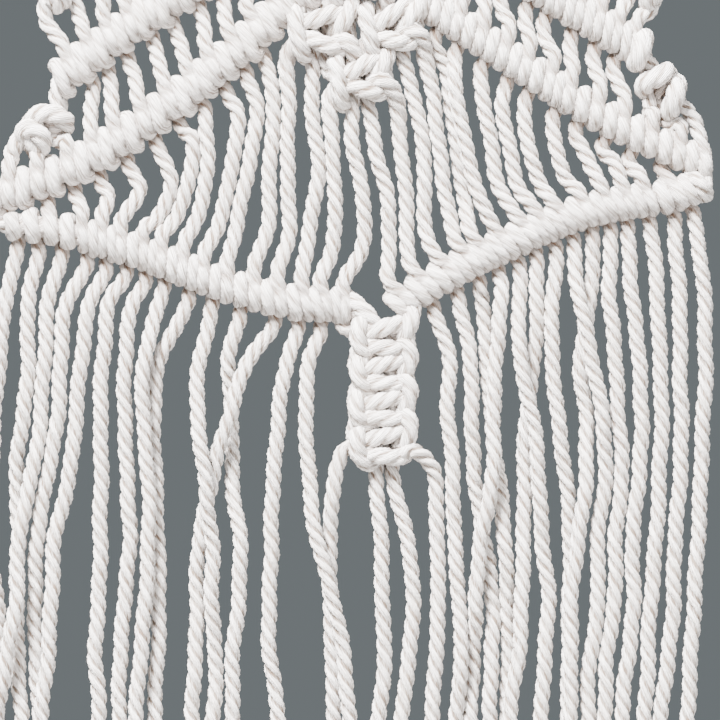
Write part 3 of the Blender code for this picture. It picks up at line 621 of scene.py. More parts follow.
# %% One hitch, as places round the row
def round_row(line, s, reach, angle, lean, radius):
    """A place on the row's skin: angle 0 is the front, 90 the underside, -90 the top."""
    turn = math.radians(angle)
    down, front = math.sin(turn), math.cos(turn)
    shift = lean * reach * down * line.row.side * (1.0 if front > -0.01 else LEAN_BEHIND)
    centre, along, across = line.at(s + shift)
    place = centre + across * (reach * down)
    return (place.x, -reach * front, place.z, radius, PRESSED)


def hitch(name, s, gap, single=False):
    """A double half hitch: one loop at s, the other a gap further on. A single one ends behind the first."""
    line, tie = LINES[name], TIES[name]
    thick = line.row.thickness / 2 * tie.bulk
    radius = min(max(gap * tie.squeeze * chance.uniform(0.97, 1.05), THINNEST), FATTEST)
    second = s + (gap if tie.outward else -gap) + chance.uniform(-SLIP, SLIP)
    s += chance.uniform(-SLIP, SLIP)
    reach = (thick - radius) * chance.uniform(*PULLED)
    other = (thick - radius) * chance.uniform(*PULLED)
    lean = tie.lean + chance.uniform(-LEAN_VARIES, LEAN_VARIES)
    lean_2 = tie.lean + chance.uniform(-LEAN_VARIES, LEAN_VARIES)
    places = [round_row(line, s, reach + extra, angle, lean, radius) for angle, extra in FIRST_LOOP]
    if single:
        return [*places, round_row(line, s, reach * 0.9, BEHIND[0], lean, radius)]
    for i, angle in enumerate(BEHIND):
        share = (i + 1) / (len(BEHIND) + 1)
        places.append(round_row(line, s + (second - s) * share, reach + 0.2, angle, lean, radius))
    hang = tie.hang * chance.uniform(0.75, 1.2)
    for angle, extra in (*SHOULDER, *((angle, hang * share) for angle, share in SAG)):
        places.append(round_row(line, second, other + extra, angle, lean_2, radius))
    places.append(round_row(line, second, other * 0.7, BEHIND[0] + 5, lean_2, radius * 0.9))
    return places


# %% Where the knots of a row sit: x where each cord enters, then how far along the row
EVENED = 0.15


def hitch_places(name, entries):
    """The reach of each knot's entry loop, and the gap to its second loop."""
    line = LINES[name]
    last = KNOTS_A_ROW - 1
    slant = TIES[name].lean * line.row.thickness / 2 * line.row.side
    read = [line.reach_at(x, below=False) + slant for x in entries]
    even = [read[0] + (read[-1] - read[0]) * k / last for k in range(KNOTS_A_ROW)]
    spots = [(1.0 - EVENED) * r + EVENED * e for r, e in zip(read, even)]
    found = []
    for k, s in enumerate(spots):
        if TIES[name].outward:
            pitch = (spots[k + 1] - s) if k < last else (s - spots[k - 1])
        else:
            pitch = (s - spots[k - 1]) if k else (spots[1] - s)
        found.append((s, pitch / 2))
    return found


ENTRIES = {
    "outer_left": [-2.75 - 5.16 * k for k in range(KNOTS_A_ROW)],
    "outer_right": [3.0 + 4.71 * k for k in range(KNOTS_A_ROW - 1)] + [68.3],
    "main_left": [x for _, _, x in LEFT_DROPS[1:]] + [-74.0, -81.5, -88.6],
    "main_right": [x for _, _, x in RIGHT_DROPS[1:]] + [71.8, 78.8, 85.0],
    "lower_left": [-4.75, -10.3, -15.0, -21.0] + [row[4] for row in LEFT_SPANS] + [-88.8],
    "lower_right": [7.5, 13.0, 19.0, 24.3] + [row[4] for row in RIGHT_SPANS] + [81.6],
}
HITCHES = {name: hitch_places(name, xs) for name, xs in ENTRIES.items()}


# %% How a cord comes out from under a row, and how it reaches the next one
HIDDEN_SHARE = 0.75
SQUARE_OFF = 0.5
FREE_AFTER = 2.6
LANDS_ABOVE = 1.4
LANDS_AT = -1.6
DOWN = Vector((0.0, 0.0, -1.0))


def leaving(name, x_tail):
    """How a cord comes out from under the row at this x: from a hidden place inside it, down to its edge."""
    line = LINES[name]
    s = line.reach_at(x_tail, below=True)
    centre, _, across = line.at(s)
    edge = line.edge(s, below=True)
    inside = edge.lerp(centre, HIDDEN_SHARE)
    below = edge + (across * SQUARE_OFF + DOWN * (1.0 - SQUARE_OFF)) * FREE_AFTER
    return [(inside.x, 1.0, inside.z, 1.9), (edge.x, 1.2, edge.z + 0.3), (below.x, 0.9, below.z)]


def arriving(name, k):
    """The last free place above a knot, in front of the row's top edge."""
    line, tie = LINES[name], TIES[name]
    s, _ = HITCHES[name][k]
    reach = line.row.thickness / 2 + LANDS_ABOVE
    centre, _, across = line.at(s - tie.lean * reach * line.row.side)
    top = centre - across * reach
    return [(top.x, LANDS_AT, top.z)]


def shade_below(name, x_tail):
    """The deep shade in which a cord comes out from under a row."""
    edge = LINES[name].edge(LINES[name].reach_at(x_tail, below=True), below=True)
    return ((edge.x, 0.8, edge.z), 6.5, 1.0)


def shade_of_knot(name, k):
    """The light shade where a cord goes into its knot, and under the knot's own foot."""
    line = LINES[name]
    s, gap = HITCHES[name][k]
    top = line.edge(s, below=False)
    foot = line.edge(s + gap * (0.5 if TIES[name].outward else -0.5), below=True)
    return [((top.x, -1.0, top.z), 4.0, 0.25), ((foot.x, -0.5, foot.z), 5.5, 0.55)]


print({name: [round(s, 1) for s, _ in spots] for name, spots in HITCHES.items()})

# %% [markdown]
# ## The heading
#
# Sixteen doubled cords hang from a mounting cord, each by a lark's head: the ends go up in front of the
# mounting cord, over it and down behind, and the loop between them comes forward below and lies across both.
# It is one path for each pair, from the left end to the right one.

# %% Lark's heads on the mounting cord
HEADING_HALF = 74.0
HEADING_Z = -5.0
HEADING_END, END_DROOP = 4.5, 0.6
HEADS = 16
PITCH = 2 * HEADING_HALF / HEADS
# half a lark's head: from the free end up the front, over, down the back and forward to the loop
HALF_HEAD = [(2.3, -0.4, -16.5), (2.25, -0.6, -12.5), (2.2, -1.2, -9.6), (2.15, -3.2, -7.0),
             (2.1, -4.0, -4.6), (2.1, -2.9, -2.1), (2.15, 0.0, -1.0), (2.3, 2.9, -2.1), (2.5, 4.1, -5.0),
             (2.9, 3.2, -7.8), (3.4, 0.6, -9.4), (3.3, -2.4, -10.2), (2.0, -4.6, -10.4)]


def larks_head(x):
    left = [(x - at, y, z) for at, y, z in HALF_HEAD]
    right = [(x + at, y, z) for at, y, z in reversed(HALF_HEAD)]
    return [*left, (x, -5.1, -10.4), *right]


for i in range(HEADS):
    centre = -HEADING_HALF + PITCH * (i + 0.5)
    lay_cord("heading_larks_heads", larks_head(centre), wander=0.0, spacing=TIGHT)
end = HEADING_HALF + HEADING_END
mounting_cord = [(-end, 0.0, HEADING_Z - END_DROOP), (-HEADING_HALF, 0.0, HEADING_Z), (0.0, 0.0, HEADING_Z),
                 (HEADING_HALF, 0.0, HEADING_Z), (end, 0.0, HEADING_Z - END_DROOP)]
lay_cord("heading_larks_heads", mounting_cord, wander=0.1)
print("heading:", len(CORDS["heading_larks_heads"]), "cords")

# %% [markdown]
# ## From the heading into the outer chevron
#
# Thirteen cords on each side fall straight from the heading and are hitched on the outer chevron. The two
# outermost go through a small hand-tied knot first. Each cord here is one path: the free fall and its hitch
# together.

# %% Heading cords and the outer chevron
SNUG_SPACING = TIGHT + 0.1
NEAR_HEADING = -24.0
for side, half in ((-1, "left"), (1, "right")):
    name = "outer_" + half
    for k in range(KNOTS_A_ROW - 2):
        x_top = side * (HEADING_HALF - PITCH / 2 * (KNOTS_A_ROW - k - 0.5))
        s, gap = HITCHES[name][k]
        path = [(x_top, -0.4, -16.0), *arriving(name, k), *hitch(name, s, gap)]
        # nearest to the heading there is no room for a free fall, and the cord goes straight into its knot
        if LINES[name].at(s)[0].z > NEAR_HEADING:
            path = [(x_top, -0.5, -15.0), *hitch(name, s, gap)]
        lay_cord("outer_chevron_" + half, path, wander=0.12, spacing=SNUG_SPACING,
                 tucks=shade_of_knot(name, k))

# %% [markdown]
# ## From the outer chevron into the main one
#
# Twelve cords on each side go on to the main chevron. The innermost one on each side becomes its holding
# cord.

# %% Cords between the chevrons, with their hitches on the main one
for half, drops in (("left", LEFT_DROPS), ("right", RIGHT_DROPS)):
    outer, main = "outer_" + half, "main_" + half
    for k, (x_top, x_mid, x_foot) in enumerate(drops):
        begin = leaving(outer, x_top)
        if k == 0:
            foot = LINES[main].height(x_foot)
            path = [*begin[:2], (x_foot, 0.0, foot + 3.0), (x_foot * 0.5, 0.5, foot)]
            lay_cord("main_chevron_" + half, path, tucks=[shade_below(outer, x_top)])
            continue
        spot, gap = HITCHES[main][k - 1]
        landing = arriving(main, k - 1)
        middle = (x_mid, -0.2, (begin[-1][2] + landing[0][2]) / 2)
        path = [*begin, middle, *landing, *hitch(main, spot, gap)]
        lay_cord("main_chevron_" + half, path, wander=0.15, spacing=SNUG_SPACING,
                 tucks=[shade_below(outer, x_top), *shade_of_knot(main, k - 1)])
print("chevron cords:", {name: len(cords) for name, cords in CORDS.items()})

# %% [markdown]
# ## Hand-tied side knots
#
# The two outermost cords of each side are caught in small knots between the rows: two fat turns of the same
# rope, one laid across the other. Each turn is drawn in behind at both ends, and the cords come out from
# under it. The upper knots have the shape of the lower ones.

# %% Turns of the side knots
FAT, FAT_PRESSED = 2.7, 0.45
SIDE_TURNS = {
    "left": [
        [(-83.4, 1.0, -76.6), (-82.7, -1.6, -75.4), (-80.8, -3.2, -73.9), (-78.0, -3.5, -73.6),
         (-75.6, -2.9, -74.5), (-74.6, -0.8, -75.8), (-75.6, 1.4, -77.2), (-77.5, 2.2, -77.6)],
        [(-84.2, 1.4, -80.0), (-85.1, -0.8, -78.8), (-84.2, -2.8, -77.5), (-82.3, -3.6, -77.4),
         (-80.6, -3.4, -79.0), (-80.2, -2.2, -81.0), (-81.2, -0.8, -82.4), (-82.8, 0.8, -82.6)],
        [(-79.8, 1.2, -75.6), (-77.8, -0.8, -76.0), (-76.0, 1.0, -76.4)],
        [(-83.2, 1.2, -77.2), (-82.6, -1.4, -79.8), (-82.8, -0.2, -82.2)]],
    "right": [
        [(71.6, 1.8, -67.8), (70.0, 0.0, -67.2), (70.5, -2.4, -65.8), (72.5, -3.5, -64.8),
         (74.6, -3.0, -63.7), (75.8, -0.8, -63.1), (75.0, 1.8, -63.4)],
        [(76.4, 1.4, -65.2), (77.9, -0.6, -65.9), (77.9, -3.2, -67.6), (77.2, -3.6, -70.2),
         (76.5, -2.4, -72.2), (76.3, 0.6, -73.6)]],
}
# the upper knot of each side has the same shape, and stands this far from the lower one
UPPER_KNOT = {"left": (5.1, 36.5), "right": (-5.1, 27.5)}
SHADED = [((-77.0, 0.0, -77.5), 4.5, 0.9), ((-82.5, 0.0, -84.0), 3.5, 0.9), ((74.6, -0.4, -68.0), 4.5, 1.0),
          ((73.6, 0.6, -72.5), 4.0, 0.9), ((71.8, 0.0, -68.5), 3.5, 0.8), ((76.0, 0.0, -75.0), 4.0, 0.9)]
for half, turns in SIDE_TURNS.items():
    for path in turns:
        fat = [(*place, FAT, FAT_PRESSED) for place in path]
        lay_cord(f"side_knots_{half}", fat, wander=0.0, spacing=TIGHT, tucks=SHADED)
        dx, dz = UPPER_KNOT[half]
        upper = [(x + dx, y, z + dz, radius, pressed) for x, y, z, radius, pressed in fat]
        lay_cord(f"side_knots_{half}", upper, wander=0.0, spacing=TIGHT)

# %% The cords that go through the side knots
SIDE_CORDS = {
    "left": [
        [(-71.7, -0.4, -16.0), (-73.0, 0.0, -26.0), (-73.2, 0.6, -38.5)],
        [(-67.1, -0.4, -16.0), (-69.6, 1.0, -26.0), (-71.6, 3.0, -38.0)],
        [(-75.6, 0.8, -63.5), (-77.0, 0.2, -68.2), (-76.5, 0.2, -71.6), (-77.0, 0.8, -75.0)],
        [(-73.4, 1.8, -62.5), (-75.6, 3.3, -67.5), (-76.4, 3.3, -73.5)]],
    "right": [
        [(71.7, -0.4, -16.0), (70.2, 0.0, -26.0), (68.2, 0.6, -36.0)],
        [(67.1, -0.4, -16.0), (67.2, 1.0, -26.0), (66.6, 3.0, -36.0)],
        [(69.4, 0.8, -57.5), (70.9, 0.4, -60.0), (72.3, 0.2, -62.6), (72.8, 0.8, -65.0)],
        [(68.4, 1.8, -57.0), (70.0, 2.8, -61.0), (71.6, 2.8, -65.5)],
        [(72.6, 0.4, -68.6), (74.8, -0.6, -67.4), (76.8, 0.4, -65.8)]],
}
HITCHED_SIDE_CORDS = [
    ("outer_left", 14, [(-79.6, -0.2, -42.5), (-79.6, 0.0, -50.0)]),
    ("outer_left", 13, [(-73.6, 1.0, -41.5), (-71.2, 0.0, -49.0)]),
    ("outer_right", 14, [(73.2, 0.4, -42.5), (71.6, 0.0, -47.6)]),
    ("outer_right", 13, [(66.6, 0.4, -40.5), (65.4, 0.0, -46.0)]),
    ("main_left", 14, [(-84.4, -0.2, -78.4, 2.2, 0.1), (-87.0, -0.4, -81.0, 2.3, 0.1),
                       (-88.2, -0.2, -84.4, 2.3, 0.1)]),
    ("main_left", 13, [(-82.4, 1.4, -81.0), (-81.8, 1.4, -84.0)]),
    ("main_left", 12, [(-79.2, 0.8, -78.8), (-77.8, 0.2, -79.8), (-75.9, -0.4, -80.8)]),
    ("main_right", 12, [(72.2, 0.4, -67.5), (71.5, 0.0, -70.5), (71.4, 0.0, -73.6)]),
    ("main_right", 13, [(73.8, 1.0, -69.5), (73.9, 1.2, -72.5), (74.9, 0.8, -75.0), (77.0, 0.0, -76.3)]),
    ("main_right", 14, [(78.6, 0.6, -70.0), (79.8, 0.2, -71.6), (81.3, 0.0, -73.2), (82.6, 0.0, -75.2),
                        (83.4, -0.2, -77.6), (83.9, -1.0, -79.8)]),
]
# the outer row's last loop on the right is a fat one that closes the row's end
LAST_LOOP = [(69.6, 2.2, -56.2), (69.9, -0.4, -54.6), (69.7, -2.8, -55.2), (69.2, -3.9, -57.4),
             (68.4, -3.4, -59.6), (67.9, -1.2, -60.8), (68.4, 1.4, -60.0)]
for half, cords in SIDE_CORDS.items():
    for path in cords:
        lay_cord(f"side_knots_{half}", path, wander=0.05, tucks=SHADED)
for name, k, path in HITCHED_SIDE_CORDS:
    level, half = name.split("_")
    spot, gap = HITCHES[name][k]
    if (name, k) == ("main_right", 14):
        ending = hitch(name, spot, gap, single=True)
    elif (name, k) == ("outer_right", 14):
        ending = [*arriving(name, k), *hitch(name, spot, gap, single=True)]
        lay_cord("outer_chevron_right", [(*place, FAT, PRESSED) for place in LAST_LOOP],
                 wander=0.0, spacing=TIGHT, tucks=SHADED)
    else:
        ending = [*arriving(name, k), *hitch(name, spot, gap)]
    lay_cord(f"{level}_chevron_{half}", [*path, *ending], wander=0.05, spacing=SNUG_SPACING,
             tucks=[*shade_of_knot(name, k), *SHADED])

# %% [markdown]
# ## Square knots
#
# A square knot takes four cords. The two in the middle, the fillers, run straight through. The outer two are
# crossed in front and behind, first one way and then the other. Seen from the front, one working cord makes
# both bars across, and the other shows as an upright loop over their left ends. Both are drawn up tight, so
# the bars touch. The places of each cord were read from the photo, knot by knot. Only the top knot is
# a guess.
#
# The diamond has four of these knots. Eight cords leave the main chevron's point and pass through them, and
# each is followed here from the chevron, through its one or two knots, down the open field and into the V.

# %% The two working cords of each square knot
SNUG, SNUG_PRESSED = 2.4, 0.4
TOP_BARS = [
    (-8.6, 1.0, -35.0), (-8.9, 0.2, -38.2), (-5.5, -2.7, -38.8), (-2.5, -3.9, -37.2), (1.0, -2.9, -35.2),
    (3.4, -0.5, -35.8), (3.9, 0.6, -38.5), (3.6, -0.8, -42.4), (2.2, -2.7, -43.2), (-0.9, -3.9, -42.6),
    (-4.7, -2.7, -41.2), (-7.7, -0.2, -42.0), (-8.9, 0.4, -45.0)]
TOP_LOOP = [
    (5.2, 1.0, -34.0), (4.2, -2.8, -35.4), (1.8, -2.6, -38.4), (-0.4, 0.8, -39.2), (-2.8, 3.3, -37.6),
    (-6.6, 2.8, -35.6), (-8.3, -0.8, -34.4), (-8.3, -3.2, -36.0), (-7.8, -3.9, -38.6), (-7.6, -3.9, -41.4),
    (-7.2, -3.2, -44.2), (-6.7, -0.8, -46.0), (-4.8, 2.2, -45.4), (-1.8, 3.2, -42.6), (0.0, 0.8, -40.6),
    (1.4, -2.2, -40.2), (3.6, -3.7, -40.6), (5.4, -2.6, -42.8), (5.4, -0.6, -45.8)]
LEFT_BARS = [
    (-19.4, 1.0, -46.5), (-18.2, -0.2, -50.4), (-14.2, -2.6, -50.8), (-10.4, -3.9, -49.6),
    (-7.2, -2.8, -48.4), (-4.9, -0.5, -48.8), (-4.2, 0.6, -51.5), (-4.6, -0.8, -56.2), (-6.4, -2.5, -57.4),
    (-9.9, -3.9, -56.3), (-13.9, -2.7, -54.9), (-16.8, -0.2, -55.6), (-19.0, 0.3, -58.6)]
LEFT_LOOP = [
    (-2.8, -1.4, -45.4), (-4.2, -3.2, -49.2), (-6.4, -2.8, -52.3), (-8.4, 0.8, -53.4), (-11.0, 3.4, -51.5),
    (-15.0, 2.8, -48.8), (-16.8, -0.8, -47.2), (-17.1, -3.4, -49.4), (-16.8, -4.0, -52.6),
    (-16.2, -3.9, -55.6), (-15.6, -2.8, -58.2), (-14.0, 0.6, -59.2), (-11.0, 3.2, -57.5),
    (-8.2, 1.2, -55.6), (-6.6, -2.0, -55.1), (-4.4, -3.8, -55.7), (-2.7, -3.0, -57.8), (-2.3, -0.8, -60.4),
    (-2.6, 0.1, -64.0)]
RIGHT_BARS = [
    (-0.2, 0.2, -42.0), (-0.4, 0.6, -47.0), (0.4, 0.2, -50.6), (3.4, -2.7, -51.3), (6.5, -3.9, -49.3),
    (9.8, -2.8, -47.2), (12.2, -0.5, -47.6), (12.9, 0.6, -50.5), (12.6, -0.8, -54.8), (11.3, -2.5, -55.9),
    (7.7, -3.9, -55.6), (4.2, -2.7, -54.7), (1.4, -0.2, -55.4), (-0.1, 0.2, -57.8), (0.2, 0.2, -61.5)]
RIGHT_LOOP = [
    (15.2, 1.0, -45.0), (13.4, -2.4, -46.6), (11.9, -3.4, -49.2), (10.2, -2.6, -52.0), (8.5, 0.8, -53.0),
    (5.5, 3.4, -51.0), (1.8, 2.8, -48.4), (0.5, -0.8, -46.9), (0.4, -3.4, -49.2), (0.9, -4.0, -52.2),
    (1.6, -3.9, -55.2), (2.2, -2.6, -57.6), (3.8, 1.0, -58.2), (6.5, 3.2, -56.2), (8.5, 0.8, -53.8),
    (9.9, -2.2, -52.8), (12.2, -3.7, -52.9), (14.4, -2.4, -54.8), (15.0, -0.6, -58.0)]
FOOT_BARS = [
    (-9.6, 0.4, -60.0), (-8.0, 0.2, -63.4), (-4.2, -2.7, -63.9), (-1.1, -3.9, -62.3), (2.2, -2.8, -60.3),
    (4.6, -0.5, -60.9), (5.2, 0.6, -63.6), (4.9, -0.8, -67.5), (3.6, -2.6, -68.4), (0.3, -3.9, -67.8),
    (-3.4, -2.7, -66.4), (-6.4, -0.2, -66.6), (-8.2, 0.2, -69.6)]
FOOT_LOOP = [
    (5.8, -1.0, -57.2), (5.2, -3.2, -60.3), (3.2, -2.7, -63.3), (1.2, 0.8, -64.4), (-1.5, 3.4, -62.5),
    (-5.2, 2.8, -60.8), (-6.9, -0.8, -59.6), (-7.1, -3.2, -61.2), (-6.6, -4.0, -63.8), (-6.3, -3.9, -66.6),
    (-5.9, -3.0, -69.4), (-5.3, -0.8, -71.0), (-3.5, 2.2, -70.4), (-0.5, 3.2, -67.6), (1.2, 0.8, -65.8),
    (2.4, -2.2, -65.2), (4.8, -3.8, -65.4), (7.2, -2.6, -67.6), (8.3, -0.8, -71.0)]


def snug(places):
    """The same places with a knot's plumper cord."""
    return [(*place, SNUG, SNUG_PRESSED) for place in places]


# %% Each of the eight cords of the diamond: its name, the row and the knot of the V that it goes to, its way
DIAMOND_CORDS = [
    ("left_01", "lower_left", 3, snug(LEFT_BARS)),
    ("centre_01", "lower_left", 2, [(-14.0, 1.0, -43.0), (-13.2, 0.4, -50.0), (-12.6, 0.0, -58.0)]),
    ("centre_02", "lower_left", 1, [*snug(TOP_BARS), (-8.6, 0.3, -50.0), (-9.6, 0.2, -56.0),
                                    *snug(FOOT_BARS)]),
    ("centre_03", "lower_left", 0, [(-4.0, 1.0, -33.0), (-3.9, 0.2, -40.0), *snug(LEFT_LOOP),
                                    (-3.1, 0.0, -70.0)]),
    ("centre_04", "lower_right", 0, [(0.4, 1.0, -33.0), (0.2, 0.2, -38.0), *snug(RIGHT_BARS),
                                     (1.0, 0.0, -70.5)]),
    ("centre_05", "lower_right", 1, [*snug(TOP_LOOP), (4.6, 0.2, -49.5), (5.4, 0.0, -54.0),
                                     *snug(FOOT_LOOP)]),
    ("centre_06", "lower_right", 2, [(10.6, 1.0, -42.0), (9.2, 0.4, -50.0), (9.3, 0.0, -58.0)]),
    ("right_01", "lower_right", 3, snug(RIGHT_LOOP)),
]
KNOT_SHADE = [((-12.0, 0.4, -59.5), 5.0, 0.8), ((-8.6, 0.4, -58.5), 4.0, 0.8), ((7.5, 0.4, -58.0), 5.0, 0.8),
              ((-1.0, 0.4, -71.0), 5.0, 0.8), ((-10.0, 0.0, -53.0), 3.5, 0.8), ((6.8, 0.0, -52.5), 3.5, 0.8),
              ((-0.2, 0.0, -65.0), 3.5, 0.8), ((-19.0, 0.0, -59.0), 3.5, 0.6)]


# the least room between two places of a cord, and the shortest way on which a cord falls free
CLEAR = 1.5
SHORT = 1.8
SPAN_SPACING = TIGHT + 0.15


def span_cord(name, row, k, begin, z_top, across, tucks=()):
    """A cord of the open field with its hitch on the V, kept together until they are parted."""
    spot, gap = HITCHES[row][k]
    foot = LINES[row].height(across[-1])
    landing = arriving(row, k)
    free = []
    for i in (1, 2, 3):
        z = z_top + (foot - z_top) * i / 4
        if landing[0][2] + CLEAR < z < begin[-1][2] - CLEAR:
            free.append((across[i], crossing_depth(name, z), z))
    if begin[-1][2] - landing[0][2] < SHORT:
        begin, landing = begin[:-1], []
    # the left row's innermost knot is half covered by a holding cord, and shows one loop only
    loops = hitch(row, spot, gap, single=(row, k) == ("lower_left", 0))
    lay_cord("span_" + row, [*begin, *free, *landing, *loops], wander=0.3, spacing=SPAN_SPACING,
             tucks=[*tucks, *shade_of_knot(row, k)])


for name, row, k, path in DIAMOND_CORDS:
    z_top, *across = KNOT_SPANS[name]
    span_cord(name, row, k, path, z_top, across, tucks=KNOT_SHADE)

# %% Each of the twenty other cords of the open field
FROM_DIAMOND = 4
for half, spans in (("left", LEFT_SPANS), ("right", RIGHT_SPANS)):
    main, row = "main_" + half, "lower_" + half
    for i, across in enumerate(spans):
        name = f"{half}_{i + 2:02d}"
        span_cord(name, row, i + FROM_DIAMOND, leaving(main, across[0]), LINES[main].height(across[0]),
                  across, tucks=[shade_below(main, across[0])])
print("cords of the open field:", [len(CORDS[name]) for name in ("span_lower_left", "span_lower_right")])

# %% [markdown]
# ## Holding cords and corners
#
# Each row is tied over holding cords. They hardly show along the row, and only fill the gaps between its
# loops. At the corners they turn and come back as the holding cords of the V, and there they show as rounded
# ends. In the V's notch they are drawn in behind, so the core of a lower row starts further out.

# %% Holding cords
CORE_STEPS = 14
CORE_SPACING = 1.6
CORE_INSET = 1.6
CORE_STARTS = {"outer": 0.3, "main": 0.3, "lower": 4.5}
CORE_STOPS = 0.3
PIECE_OF_LEVEL = {"outer": "outer_chevron_", "main": "main_chevron_", "lower": "lower_row_"}
for name, line in LINES.items():
    level, half = name.split("_")
    begin, end = CORE_STARTS[level], line.length - CORE_STOPS
    radius = line.row.thickness / 2 - CORE_INSET
    places = []
    for i in range(CORE_STEPS + 1):
        centre = line.at(begin + (end - begin) * i / CORE_STEPS)[0]
        places.append((centre.x, 0.0, centre.z, radius, PRESSED))
    lay_cord(PIECE_OF_LEVEL[level] + half, places, wander=0.0, spacing=CORE_SPACING)

# a corner's cord runs from the panel's row into the V's, and is parted later with those of the open field
CORNERS = [
    ("span_lower_left", [(-85.0, -0.5, -91.4), (-89.0, -1.6, -92.8), (-91.9, -1.8, -94.6),
                         (-92.9, -1.4, -97.2), (-91.8, -1.0, -100.0), (-88.6, -0.6, -101.6),
                         (-85.0, 0.0, -101.6)]),
    ("span_lower_left", [(-86.0, 1.4, -94.0), (-89.6, 1.4, -96.6), (-90.4, 1.4, -99.0),
                         (-88.0, 1.4, -101.0)]),
    ("span_lower_right", [(81.8, 0.4, -86.4), (84.6, 0.6, -88.0), (85.0, 0.4, -90.4), (83.6, 0.2, -93.2),
                          (80.0, 0.0, -94.8)]),
    ("span_lower_right", [(81.4, -0.2, -89.0), (82.4, -2.2, -89.8), (83.8, -3.2, -91.4), (84.9, -2.2, -93.0),
                          (84.9, 0.2, -94.2)]),
    ("span_lower_right", [(83.6, 1.0, -87.6), (85.2, -0.8, -89.2), (85.3, -1.4, -91.0), (84.4, -0.6, -93.4)]),
]
for piece, path in CORNERS:
    lay_cord(piece, path, wander=0.0, spacing=TIGHT)

# the outermost knot of each row of the V has no cord above it in the open field
for half in ("left", "right"):
    spot, gap = HITCHES["lower_" + half][-1]
    lay_cord("lower_row_" + half, hitch("lower_" + half, spot, gap), wander=0.0, spacing=TIGHT)

# %% [markdown]
# ## The sennit
#
# Four square knots tied one right under the other make a flat braid, a sennit. The holding cords of the V are
# its fillers and the two innermost cords are its working cords, so it grows out of the V's point.

# %% The sennit
# the height of each knot's upper bar, how its left side drifts, and how far its lower bar has sagged
SENNIT_KNOTS = [(-126.9, 0.2, 0.2), (-135.9, 0.2, 0.0), (-144.9, -0.3, -0.3), (-153.8, -0.1, 0.3)]
# both bars of the crossing cord, then the other cord behind and up over their left ends; z from the upper bar
BARS = [(-2.2, -0.3, -0.8), (1.2, -2.7, -1.1), (5.2, -3.9, 0.0), (8.4, -2.9, 0.9), (10.4, -0.5, 0.4),
        (10.6, 0.6, -2.2), (10.3, -0.6, -4.4), (8.9, -2.6, -5.1), (5.3, -3.9, -4.9), (1.3, -2.7, -4.5),
        (-1.0, -0.2, -5.0), (-1.9, 0.2, -6.7), (-2.0, 0.0, -8.2)]
LOOP = [(11.3, -3.2, 0.4), (10.1, -2.6, -1.8), (8.2, 1.2, -2.7), (5.0, 3.5, -1.4), (1.6, 3.0, 0.8),
        (-0.4, 0.6, 2.6), (-1.0, -2.6, 1.4), (-1.7, -3.9, -0.8), (-1.6, -4.1, -3.2), (-0.7, -3.6, -5.2),
        (1.0, -1.6, -6.5), (3.2, 1.6, -6.5), (6.0, 3.2, -5.2), (8.0, 0.8, -3.7), (9.1, -1.8, -3.4),
        (10.5, -3.3, -4.1), (11.4, -3.4, -6.3)]
LEFT_SIDE, BARS_SAG, LOOP_SAGS = 2.0, -4.0, -5.0


def through_knot(places, knot, sags_below):
    """A working cord's way through one knot. Its left side drifts, and what is below this height sags."""
    z, drift, sag = knot
    return [(x + (drift if x < LEFT_SIDE else 0), y, z + dz - (sag if dz < sags_below else 0))
            for x, y, dz in places]


def tail_path(name):
    """The free end of one of the sennit's cords."""
    free, across = SENNIT_TAILS[name]
    heights = FRINGE_HEIGHTS[-len(across):]
    return [*free, *((x, crossing_depth(name, z), z) for x, z in zip(across, heights))]


# the cords come out from behind the V's point, go through the four knots, and leave their ends as tails
cross = [(-3.6, 1.0, -121.5), (-5.4, 0.6, -124.6), (-4.4, 0.0, -127.0)]
upright = [(8.6, 1.0, -120.0), (11.6, -0.4, -121.4), (12.0, -2.4, -123.8)]
for knot in SENNIT_KNOTS:
    cross += through_knot(BARS, knot, BARS_SAG)
    upright += through_knot(LOOP, knot, LOOP_SAGS)
SENNIT_SHADE = [((5.0, 0.4, -163.0), 5.0, 0.8), ((-4.6, 0.2, -160.0), 4.0, 0.5),
                ((13.0, 0.0, -160.5), 3.5, 0.4), ((-5.0, 0.6, -125.5), 3.5, 0.7),
                *(((5.0, 0.0, z - 2.6), 3.0, 0.8) for z, _, _ in SENNIT_KNOTS)]
for path, tail in ((cross[:-2], "tail_left"), (upright[:-1], "tail_right")):
    lay_cord("sennit", snug(path) + tail_path(tail), wander=0.12, spacing=SNUG_SPACING, tucks=SENNIT_SHADE)
for name, x in (("filler_left", 2.9), ("filler_right", 6.9)):
    hidden = [(x, -0.6, -127.8), (x, -1.0, -142.0), (x, -0.9, -151.0)]
    lay_cord("sennit", snug(hidden) + tail_path(name), wander=0.2, tucks=SENNIT_SHADE)
# one holding cord comes out of the left row's end and goes down over the point of the V
over_point = [(-4.6, 0.4, -119.2), (-2.2, -1.8, -120.9), (0.3, -2.7, -123.2), (2.2, -2.4, -125.6),
              (3.1, -0.8, -128.0), (3.4, 0.4, -131.0)]
lay_cord("sennit", snug(over_point), wander=0.0, spacing=TIGHT, tucks=SENNIT_SHADE)
print("sennit:", len(CORDS["sennit"]), "cords")

# %% [markdown]
# ## The fringe
#
# Below the V every cord hangs free to its trimmed end. Some drift sideways and lie over a neighbour.

# %% The fringe cords
LEAST_FALL = 3.0
for half, table in (("left", LEFT_FRINGE), ("right", RIGHT_FRINGE)):
    row = "lower_" + half
    for i, across in enumerate(table):
        name = f"{half[0]}{i + 1:02d}"
        path = leaving(row, across[0])
        low = path[-1][2] - LEAST_FALL
        path += [(x, crossing_depth(name, z), z) for x, z in zip(across[1:], FRINGE_HEIGHTS) if z < low]
        lay_cord("fringe_" + half, path, wander=0.35, spacing=SPACING + 0.1,
                 tucks=[shade_below(row, across[0])])
print("fringe:", {name: len(CORDS["fringe_" + name]) for name in ("left", "right")})

